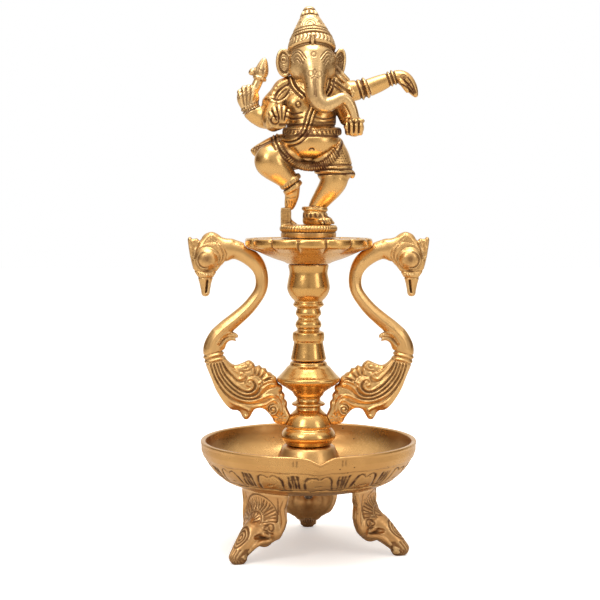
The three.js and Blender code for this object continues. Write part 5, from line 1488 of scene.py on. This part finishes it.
def back_of_torso(clay):
    """Shoulder blades, spine and two cords."""
    blades = [[(-9.5, 66.0), (-6.0, 60.0), (-3.6, 55.0)], [(10.5, 66.0), (7.0, 60.0), (4.8, 55.0)]]
    clay.draw([smooth_track(blade, 5) for blade in blades], -0.5, 0.8, behind=2)
    clay.draw([[(0.6, 64.0), (0.6, 50.5)]], -0.6, 0.8, behind=2)
    clay.cord([(-12.0, 68.0), (-2.0, 58.0), (6.0, 50.4)], 0.9, side=1)
    clay.cord([(12.0, 69.0), (6.0, 66.4), (0.6, 65.4), (-5.0, 66.4), (-10.6, 69.0)], 0.9, side=1)


def trim_half(clay, point, direction, radius, gap=JOINT_GAP):
    """Cuts the clay off at a joint: nothing stays past the point, within a radius of its axis."""
    direction = np.array(direction, float) / np.linalg.norm(direction)
    point = np.array(point, float)
    cuts, x, y, z = clay.window(point - radius - 4, point + radius + 4)
    place = (x - point[0], y - point[1], z - point[2])
    past = sum(p * d for p, d in zip(place, direction)) + gap
    beside = np.sqrt(np.maximum(sum(p * p for p in place) - past**2, 0)) - radius
    cutter = np.maximum(-past, beside)
    clay.field[cuts] = np.maximum(clay.field[cuts], -cutter)


def raised_leg(clay):
    clay.limb(
        [(-5.0, 0.0, 35.8, 8.0), (-12.6, -4.6, 34.2, 8.3), (-18.2, -7.6, 32.0, 8.3), (-17.2, -8.2, 29.6, 7.6),
         (-13.6, -7.4, 25.8, 6.1), (-10.2, -6.0, 22.4, 5.0)],
        blend=1.4,
    )
    axis = (0.57, 0.12, -0.82)
    ring_band(clay, (-9.0, -5.6, 21.5), axis, 5.9, 1.7, spread=0.95)
    ring_band(clay, (-7.8, -5.2, 18.6), axis, 5.3, 1.6, spread=0.9)
    rope = [(0.0, 5.3), (2.6, 5.3)]
    wrapped(clay, (-9.6, -5.8, 22.2), (-8.2, -5.4, 19.9), rope, [[(-0.4, 0.3), (0.4, 2.0)]], 22, -0.12, 0.22)
    clay.limb(
        [(-8.0, -5.0, 18.4, 3.8), (-8.2, -4.3, 14.7, 3.5), (-8.9, -3.2, 11.4, 3.0), (-9.3, -2.6, 9.8, 2.6)],
        blend=0.6,
    )
    toes = [[(-10.9, 11.8), (-10.4, 9.4)], [(-9.6, 12.0), (-9.3, 9.4)], [(-8.3, 12.0), (-8.2, 9.4)]]
    clay.draw(toes, -0.2, 0.24, before=-2)
    clay.draw([[(-10.6, 13.6), (-8.4, 13.2), (-6.2, 13.8)]], -0.14, 0.24, before=-2)


def standing_leg(clay):
    clay.limb(
        [(7.0, -1.0, 34.0, 8.6), (11.6, -3.6, 27.4, 7.5), (12.6, -4.8, 22.8, 6.9), (10.9, -4.6, 18.8, 6.1),
         (7.6, -3.0, 14.2, 5.1), (4.4, -1.2, 9.4, 4.2), (3.6, -0.8, 5.0, 4.0)],
        blend=1.5,
    )
    # Anklets
    clay.spun((3.3, -0.8, 3.4), (3.2, -0.8, 8.6), [(0, 5.6), (5.0, 5.6)], blend=0.4, squash=0.92)
    ring_band(clay, (3.1, -0.7, 7.9), (0.05, 0, 1), 6.5, 1.3, spread=0.85, squash=0.92)
    ring_band(clay, (3.3, -0.8, 4.6), (0.05, 0, 1), 6.3, 1.6, spread=1.25, squash=0.92)
    leaves = [[(-0.8, 0.2), (0.0, 2.4), (0.8, 0.2)], [(0.0, 0.2), (0.0, 1.2)]]
    anklet = [(0, 6.2), (2.6, 6.2)]
    wrapped(clay, (3.3, -0.8, 3.4), (3.3, -0.8, 6.0), anklet, leaves, 16, -0.3, 0.26, squash=0.92)
    clay.limb([(0.6, 1.0, 2.3, 3.6), (5.6, -2.4, 2.2, 3.7), (9.6, -5.2, 1.6, 2.5)], blend=0.8)
    for step in range(5):
        x = 5.6 + 1.3 * step
        clay.limb([(x, -5.4 + 0.7 * step, 2.3, 0.95), (x + 1.3, -7.8 + 1.1 * step, 1.0, 0.85)], blend=0.2)
    clay.draw([[(x, 2.6), (x + 0.9, 0.9)] for x in (6.9, 8.2, 9.5, 10.8)], -0.26, 0.26, before=-3)


def skirt(clay):
    """A flap behind each thigh, and the hem and the dotted cloth of the right one."""
    clay.limb(
        [(-8.0, 1.0, 38.6, 7.6), (-15.6, 0.0, 37.8, 6.6), (-21.6, -1.2, 36.6, 4.8), (-25.4, -1.8, 36.5, 2.8),
         (-28.0, -2.2, 36.9, 0.8)],
        blend=0.8,
    )
    clay.limb([(7.0, 0.2, 40.0, 8.6), (10.6, -1.6, 33.6, 9.3), (12.8, -3.0, 28.0, 9.0)], blend=0.8)
    clay.limb([(15.0, 0.6, 41.0, 2.0), (18.0, 0.2, 33.6, 1.8), (20.8, -0.4, 26.6, 1.5)], blend=1.2)
    for z in (26.2, 28.2):
        ring_band(clay, (12.8 - 0.1 * (z - 26), -3.1, z), (0.12, 0, 1), 9.6, 1.0, spread=0.85, blend=0.2)
    grooves = [[(-9, z), (9, z)] for z in (0.5, 2.6, 4.7)]
    wrapped(clay, (12.8, -3.1, 24.6), (12.6, -3.1, 30.2), [(0, 9.8), (5.6, 9.6)], grooves, 6, -0.6, 0.38)
    clay.ball((21.6, -1.6, 25.0), (1.6, 1.6, 2.0), blend=0.4)
    dots = []
    for row in range(9):
        z = 30.0 + 1.25 * row
        for step in range(16):
            x = 4.4 + 1.15 * step + 0.55 * (row % 2)
            if x < 21.4 - 0.55 * (z - 28) and x > 14.6 - 1.1 * (39 - z):
                dots.append([(x, z), (x + 0.05, z + 0.02)])
    clay.draw(dots, -0.42, 0.28, before=-2)
    clay.draw(dots, -0.3, 0.26, behind=1)


def fringe(clay):
    """The fluted fringe under the belly."""
    path = [(-14.0, 38.6), (-11.6, 34.2), (-7.6, 30.8), (-3.4, 29.0), (1.3, 28.4), (6.0, 29.2), (10.2, 31.6),
            (14.2, 36.4)]
    track = smooth_track(path, 6)
    stations = [(x, clay.skin(x, z) or -9.0, z) for x, z in track]
    clay.limb([(x, max(min(y, -9.0), -12.6) + 0.8, z, 2.2) for x, y, z in stations], blend=0.4, steps=1)
    flutes = []
    for x, z in smooth_track(track, 3)[::4]:
        lean = 0.07 * (x - 1.3)
        high = [(x - lean - 0.3, z + 1.9), (x - lean + 0.35, z + 0.7)]
        flutes.append(high + [(x + lean - 0.35, z - 0.7), (x + lean + 0.3, z - 1.9)])
    clay.draw(flutes, -0.42, 0.27, before=-4)


def borders(clay):
    """Borders of the cloth beside the fringe, pleats of the flap, and folds at the back."""
    left = smooth_track([(-15.6, 44.6), (-14.8, 40.4), (-12.8, 36.4), (-9.6, 33.0)], 5)
    for offset in (0.0, 1.7):
        clay.cord([(x - offset, z - 0.3 * offset) for x, z in left], 0.75, sink=0.15)
    beside = [[(x - 0.9, z) for x, z in left], [(x - 2.7, z - 0.6) for x, z in left[:-6]]]
    clay.draw(beside, -0.4, 0.3, before=-1)
    right = smooth_track([(15.6, 42.0), (14.8, 38.6), (13.2, 35.4)], 5)
    clay.cord(right, 0.75, sink=0.15)
    clay.draw([[(x + 1.1, z - 0.4) for x, z in right]], -0.45, 0.36, before=-1)
    pleats = [[(-14.6, 43.4), (-20.6, 40.4), (-27.4, 37.6)], [(-16.6, 41.4), (-21.6, 39.0), (-26.0, 37.0)]]
    clay.draw([smooth_track(pleat, 5) for pleat in pleats], -0.28, 0.3, before=2)
    ends = [[(x, 36.0 + 0.12 * (x + 28)), (x + 0.7, 38.2 + 0.4 * (x + 28))] for x in (-27.4, -26.2, -25.0)]
    clay.draw(ends, -0.25, 0.26)
    folds = [[(x, 44.0), (1.15 * x, 37.0), (1.3 * x, 31.0)] for x in (-9.0, -5.4, -1.8, 1.8, 5.4, 9.0)]
    clay.draw(folds, -0.6, 0.6, behind=2)


def legs_clay():
    clay = Clay((-31.0, -18.5, 0.15), (25.0, 12.0, 47.0), BODY_CELL, stain=0.8)
    clay.limb([(-3.0, 0.6, 36.6, 8.0), (1.4, 0.6, 38.2, 9.2), (7.0, 0.6, 36.0, 8.4)], blend=2.0)
    raised_leg(clay)
    standing_leg(clay)
    skirt(clay)
    fringe(clay)
    borders(clay)
    # The sole ends on the lowest layer of the grid
    clay.field[:, :, 0] = np.maximum(clay.field[:, :, 0], 0.2)
    return clay


def outstretched_clay():
    clay = Clay((26.5, -4.5, 58.5), (56.0, 11.5, 80.5), FINE_CELL)
    clay.limb(
        [(26.6, 3.9, 67.0, 4.7), (30.6, 4.0, 68.4, 4.4), (35.4, 4.0, 70.3, 4.1), (40.6, 3.6, 72.4, 3.4),
         (44.4, 3.0, 73.3, 3.5), (47.6, 2.5, 72.2, 3.7), (50.2, 1.8, 69.4, 3.2), (52.0, 1.2, 66.4, 2.3),
         (53.0, 0.8, 64.4, 1.3)],
    )
    for shift in (-0.8, 1.1):
        place = (41.2 + 0.92 * shift, 3.5, 72.7 + 0.36 * shift)
        ring_band(clay, place, (0.92, 0, 0.36), 4.0, 0.85, spread=0.75)
    edges = [[(-9, t), (9, t)] for t in (1.1, 2.95, 4.8)]
    wrapped(clay, (38.6, 3.6, 71.7), (44.0, 3.2, 73.8), [(0, 3.9), (5.6, 3.7)], edges, 6, -0.5, 0.34)
    fingers = []
    for offset in (-1.9, 0.1, 2.0):
        root = (47.2 + 0.9 * offset, 71.2 + 0.8 * offset)
        middle = (50.0 + 0.6 * offset, 68.6 + 0.5 * offset)
        fingers.append(smooth_track([root, middle, (52.4 + 0.3 * offset, 65.0 + 0.15 * offset)], 4))
    clay.draw(fingers, -0.4, 0.28)
    clay.draw([arc((47.0, 73.0), radius, 0, 360, 16) for radius in (0.5, 1.3)], -0.25, 0.24, before=2)
    clay.draw([[(50.8, 70.6), (48.8, 68.6)], [(52.2, 67.6), (50.6, 66.0)]], -0.22, 0.24, before=2)
    clay.limb([(45.8, -0.2, 71.0, 1.4), (47.4, -1.0, 68.4, 1.3), (48.8, -0.8, 66.2, 1.0)], blend=0.4)
    trim_half(clay, ARM_JOINT[0], [-part for part in ARM_JOINT[1]], 8, 2 * JOINT_GAP)
    return clay


def raised_clay():
    clay = Clay((-37.0, -5.5, 50.0), (-18.0, 9.0, 84.5), FINE_CELL)
    clay.limb([(-27.0, 2.4, 54.4, 4.0), (-29.4, 2.0, 59.6, 4.5)])
    clay.ball((-30.0, 1.6, 63.0), (5.6, 3.9, 6.2), roll=-8, blend=1.0)
    for shift in (0.4, 2.2):
        ring_band(clay, (-28.2 - 0.42 * shift, 2.1, 56.6 + 0.9 * shift), WRIST_JOINT[1], 4.9, 0.9, spread=0.8)
    studs = [arc((0.0, 0.5), 0.3, 0, 360, 8), arc((0.0, 2.2), 0.3, 0, 360, 8)]
    wrapped(clay, (-28.3, 2.1, 56.8), (-29.3, 2.1, 58.9), [(-0.5, 4.8), (2.8, 4.8)], studs, 20, -0.25, 0.24)
    # Four fingers closed round the handle
    fingers = (((-32.4, 59.4), (-34.0, 65.4)), ((-31.2, 59.0), (-32.0, 67.2)), ((-29.8, 59.2), (-29.6, 67.8)),
               ((-28.4, 60.2), (-27.2, 66.8)))
    for low, high in fingers:
        middle = partway(low, high, 0.55)
        clay.limb(
            [(low[0], -0.8, low[1], 0.9), (middle[0], -1.7, middle[1], 1.25), (high[0], -0.6, high[1], 1.35)],
            blend=0.5,
        )
        clay.limb([(high[0], -0.2, high[1] + 0.4, 1.3), (high[0] + 0.6, 3.0, high[1], 1.3)], blend=0.6)
    grooves = []
    for a, b in zip(fingers[:-1], fingers[1:]):
        grooves.append([partway(a[0], b[0], 0.5), partway(a[1], b[1], 0.5)])
    clay.draw(grooves, -0.26, 0.26, before=1)
    creases = []
    for step, x in enumerate((-34.2, -32.6, -30.6, -28.8)):
        creases.append([(x, 62.6 + 0.5 * step), (x + 1.4, 63.8 + 0.5 * step)])
        creases.append([(x + 0.2, 65.0), (x + 1.3, 65.9)])
    clay.draw(creases, -0.22, 0.24, before=1)
    # The stalk, with a ring and a bud
    clay.limb([(-28.0, 1.2, 65.2, 2.4), (-26.2, 1.0, 68.4, 2.4), (-24.7, 1.0, 71.6, 2.4)], blend=0.6)
    ring_band(clay, (-24.2, 1.0, 72.5), (0.3, 0, 0.95), 3.5, 1.0)
    bud = [(0, 2.4), (0.7, 3.1), (2.4, 3.5), (4.4, 3.3), (6.6, 2.6), (8.4, 1.8), (9.4, 1.2), (10.0, 0.5)]
    clay.spun((-23.9, 1.0, 72.9), (-21.7, 1.0, 82.5), bud, blend=0.3)
    clay.limb([(-24.4, 1.0, 76.0, 2.0), (-27.4, 1.0, 75.8, 1.9), (-28.4, 1.0, 75.4, 1.4)], blend=0.5)
    lines = [[(-25.2, 74.6), (-24.4, 78.0), (-22.6, 81.2)], [(-22.6, 74.4), (-22.2, 78.0), (-21.8, 81.2)],
             [(-24.8, 77.6), (-23.2, 76.0), (-21.4, 77.0)], [(-27.0, 77.2), (-26.4, 74.6)]]
    clay.draw([smooth_track(line, 4) for line in lines], -0.18, 0.24)
    trim_half(clay, WRIST_JOINT[0], [-part for part in WRIST_JOINT[1]], 8, 2 * JOINT_GAP)
    return clay


def base_clay():
    clay = Clay((-15.2, -15.2, -6.4), (15.2, 15.2, 9.2), FINE_CELL)
    disc = [(0.0, 13.2), (0.3, 13.7), (2.4, 13.8), (2.9, 13.0), (3.4, 12.4), (6.3, 12.4)]
    clay.spun((0, 0, -6.3), (0, 0, 0), disc, blend=0.2)
    # Two strands twisted into a rope round the edge
    for phase in (0.0, math.pi):
        strand = []
        for angle in np.linspace(0, 2 * math.pi, 361):
            twist = 26 * angle + phase
            reach = 12.65 + 0.75 * math.cos(twist)
            height = -1.8 + 0.8 * math.sin(twist)
            strand.append((reach * math.sin(angle), -reach * math.cos(angle), height, 1.05))
        clay.limb(strand, blend=0.12, steps=1)
    clay.spun((0, 0, -1.5), (0, 0, 1), [(0.0, 12.2), (1.4, 12.1), (1.7, 11.4)], blend=0.3)
    # The post under the raised foot
    clay.limb([(-11.2, -2.4, -1.0, 2.6), (-11.2, -2.4, 6.2, 2.6)], blend=0.4)
    cuts, x, y, z = clay.window((-16, -7, -2.5), (-6, 2, 9.2))
    post = np.maximum(np.maximum(np.abs(x + 11.2) - 2.5, np.abs(y + 2.4) - 2.9), z - 8.5)
    clay.merge(cuts, np.where(z > -3, post, REACH).astype(np.float32), 0.5)
    clay.limb([(-11.4, -2.4, 3.0, 1.6), (-6.6, -2.4, -0.2, 1.2)], blend=0.8)
    grain = []
    for row in range(8):
        for step in range(5):
            x = -13.2 + 1.0 * step + 0.5 * (row % 2)
            grain.append([(x, 1.2 + 0.9 * row), (x + 0.15, 1.4 + 0.9 * row)])
    clay.draw(grain, -0.2, 0.24, before=-4)
    clay.field[:, :, 0] = np.maximum(clay.field[:, :, 0], 0.1)  # its underside is flat
    return clay


def figure():
    lift = Matrix.Translation((0, 0, FIGURE_BASE_TOP * MM))
    # The head and the raised hand take the lighter brass with the painted top light
    for name, clay, brass, node in (
        ("ganesha_head", head_clay(), painted_lit_brass, "ganesha_body"),
        ("ganesha_torso", torso_clay(), figure_brass, "ganesha_body"),
        ("ganesha_legs", legs_clay(), figure_brass, "ganesha_body"),
        ("ganesha_outstretched_arm_cast", outstretched_clay(), figure_brass, "ganesha_outstretched_arm"),
        ("ganesha_raised_hand_cast", raised_clay(), painted_lit_brass, "ganesha_raised_hand"),
        ("figure_base_cast", base_clay(), figure_brass, "figure_base"),
    ):
        clay_piece(name, clay, brass, node, matrix=lift)


stem()
plate()
bowl()
peacocks()
feet()
figure()


# Floor, light and camera


def area_light(name, place, aim, size, power):
    data = bpy.data.lights.new(name, "AREA")
    data.shape = "RECTANGLE"
    data.size, data.size_y = size
    data.energy = power
    light = bpy.data.objects.new(name, data)
    bpy.context.scene.collection.objects.link(light)
    light.location = Vector(place)
    light.rotation_euler = (Vector(aim) - Vector(place)).to_track_quat("-Z", "Y").to_euler()


def straight_rays(tree):
    """1 for rays that come straight from the camera or through glass."""
    ray = add_node(tree, "ShaderNodeLightPath").outputs
    return maths(tree, "MAXIMUM", ray["Is Camera Ray"], ray["Is Transmission Ray"])


def floor():
    """A pale floor that keeps the shadow, and that the metal and the scattered light see duller."""
    far = FLOOR_SIZE / 2
    points = [(-far, -far, 0), (far, -far, 0), (far, far, 0), (-far, far, 0)]
    obj = mesh_object("floor", points, np.array([[0, 1, 2, 3]]))
    material = bpy.data.materials.new("floor_white")
    material.use_nodes = True
    tree = material.node_tree
    tree.nodes.clear()
    paint = add_node(tree, "ShaderNodeBsdfDiffuse", {"Color": FLOOR_PAINT})
    glow = add_node(tree, "ShaderNodeEmission", {"Color": WHITE, "Strength": FLOOR_GLOW})
    both = add_node(tree, "ShaderNodeAddShader")
    choose = add_node(tree, "ShaderNodeMixShader", {"Fac": straight_rays(tree)})
    dim = add_node(tree, "ShaderNodeBsdfDiffuse", {"Color": FLOOR_IN_METAL})
    out = add_node(tree, "ShaderNodeOutputMaterial")
    tree.links.new(paint.outputs[0], both.inputs[0])
    tree.links.new(glow.outputs[0], both.inputs[1])
    tree.links.new(dim.outputs[0], choose.inputs[1])
    tree.links.new(both.outputs[0], choose.inputs[2])
    tree.links.new(choose.outputs[0], out.inputs["Surface"])
    obj.data.materials.append(material)


def soft(tree, value, low, high):
    """0 at the low value and 1 at the high one, with soft ends."""
    return remap(tree, value, low, high, ends="SMOOTHSTEP")


def world():
    """A room that is dark at the sides, brighter in front and above, and white behind the lamp."""
    studio = bpy.data.worlds.new("studio")
    bpy.context.scene.world = studio
    studio.use_nodes = True
    tree = studio.node_tree
    tree.nodes.clear()
    direction = add_node(tree, "ShaderNodeTexCoord").outputs["Generated"]
    part = add_node(tree, "ShaderNodeSeparateXYZ", {"Vector": direction})
    across, along, up = part.outputs["X"], part.outputs["Y"], part.outputs["Z"]
    front = maths(tree, "MULTIPLY", soft(tree, along, 0.15, -0.85), ROOM_FRONT)
    behind = soft(tree, along, 0.45, 0.95)
    overhead = maths(tree, "MULTIPLY", soft(tree, up, 0.2, 0.85), ROOM_OVERHEAD)
    strip = maths(tree, "MULTIPLY", soft(tree, maths(tree, "ABSOLUTE", across), 0.2, 0.02), DARK_STRIP)
    strip = maths(tree, "MULTIPLY", strip, soft(tree, up, 0.45, 0.15))
    front = maths(tree, "MULTIPLY", front, maths(tree, "SUBTRACT", 1.0, strip))
    level = maths(tree, "MAXIMUM", maths(tree, "MAXIMUM", front, behind), overhead)
    tint = mixed(tree, level, ROOM_DARK, ROOM_BRIGHT)
    mirrored = add_node(tree, "ShaderNodeLightPath").outputs["Is Glossy Ray"]
    backdrop = maths(tree, "MULTIPLY", mirrored, soft(tree, along, 0.8, 0.95))
    seen = maths(tree, "MAXIMUM", straight_rays(tree), backdrop)
    strength = maths(tree, "MAXIMUM", level, 1.0)
    room = add_node(tree, "ShaderNodeBackground", {"Color": tint, "Strength": strength})
    white = add_node(tree, "ShaderNodeBackground", {"Color": WHITE, "Strength": 1.0})
    choose = add_node(tree, "ShaderNodeMixShader", {"Fac": seen})
    out = add_node(tree, "ShaderNodeOutputWorld")
    tree.links.new(room.outputs[0], choose.inputs[1])
    tree.links.new(white.outputs[0], choose.inputs[2])
    tree.links.new(choose.outputs[0], out.inputs["Surface"])


def camera():
    data = bpy.data.cameras.new("camera")
    data.lens = CAMERA_LENS
    data.shift_y = CAMERA_SHIFT
    data.sensor_width = CAMERA_SENSOR
    data.clip_start = 0.01
    data.clip_end = 100
    obj = bpy.data.objects.new("camera", data)
    bpy.context.scene.collection.objects.link(obj)
    obj.location = (CAMERA_X * MM, -CAMERA_BACK * MM, CAMERA_HEIGHT * MM)
    obj.rotation_euler = (math.radians(90 + CAMERA_PITCH), 0, 0)
    bpy.context.scene.camera = obj


camera()
floor()
world()
for name, (place, aim, size, power) in LAMPS.items():
    area_light(name, place, aim, size, power)
bpy.context.scene.view_settings.view_transform = "Standard"

# The rod, its washer and its nut stay as the CAD model has them, in their own metal
for name in ("tie_rod", "tie_washer", "tie_nut"):
    node = frame["nodes"][name]
    node.data.materials.clear()
    node.data.materials.append(rod_steel)
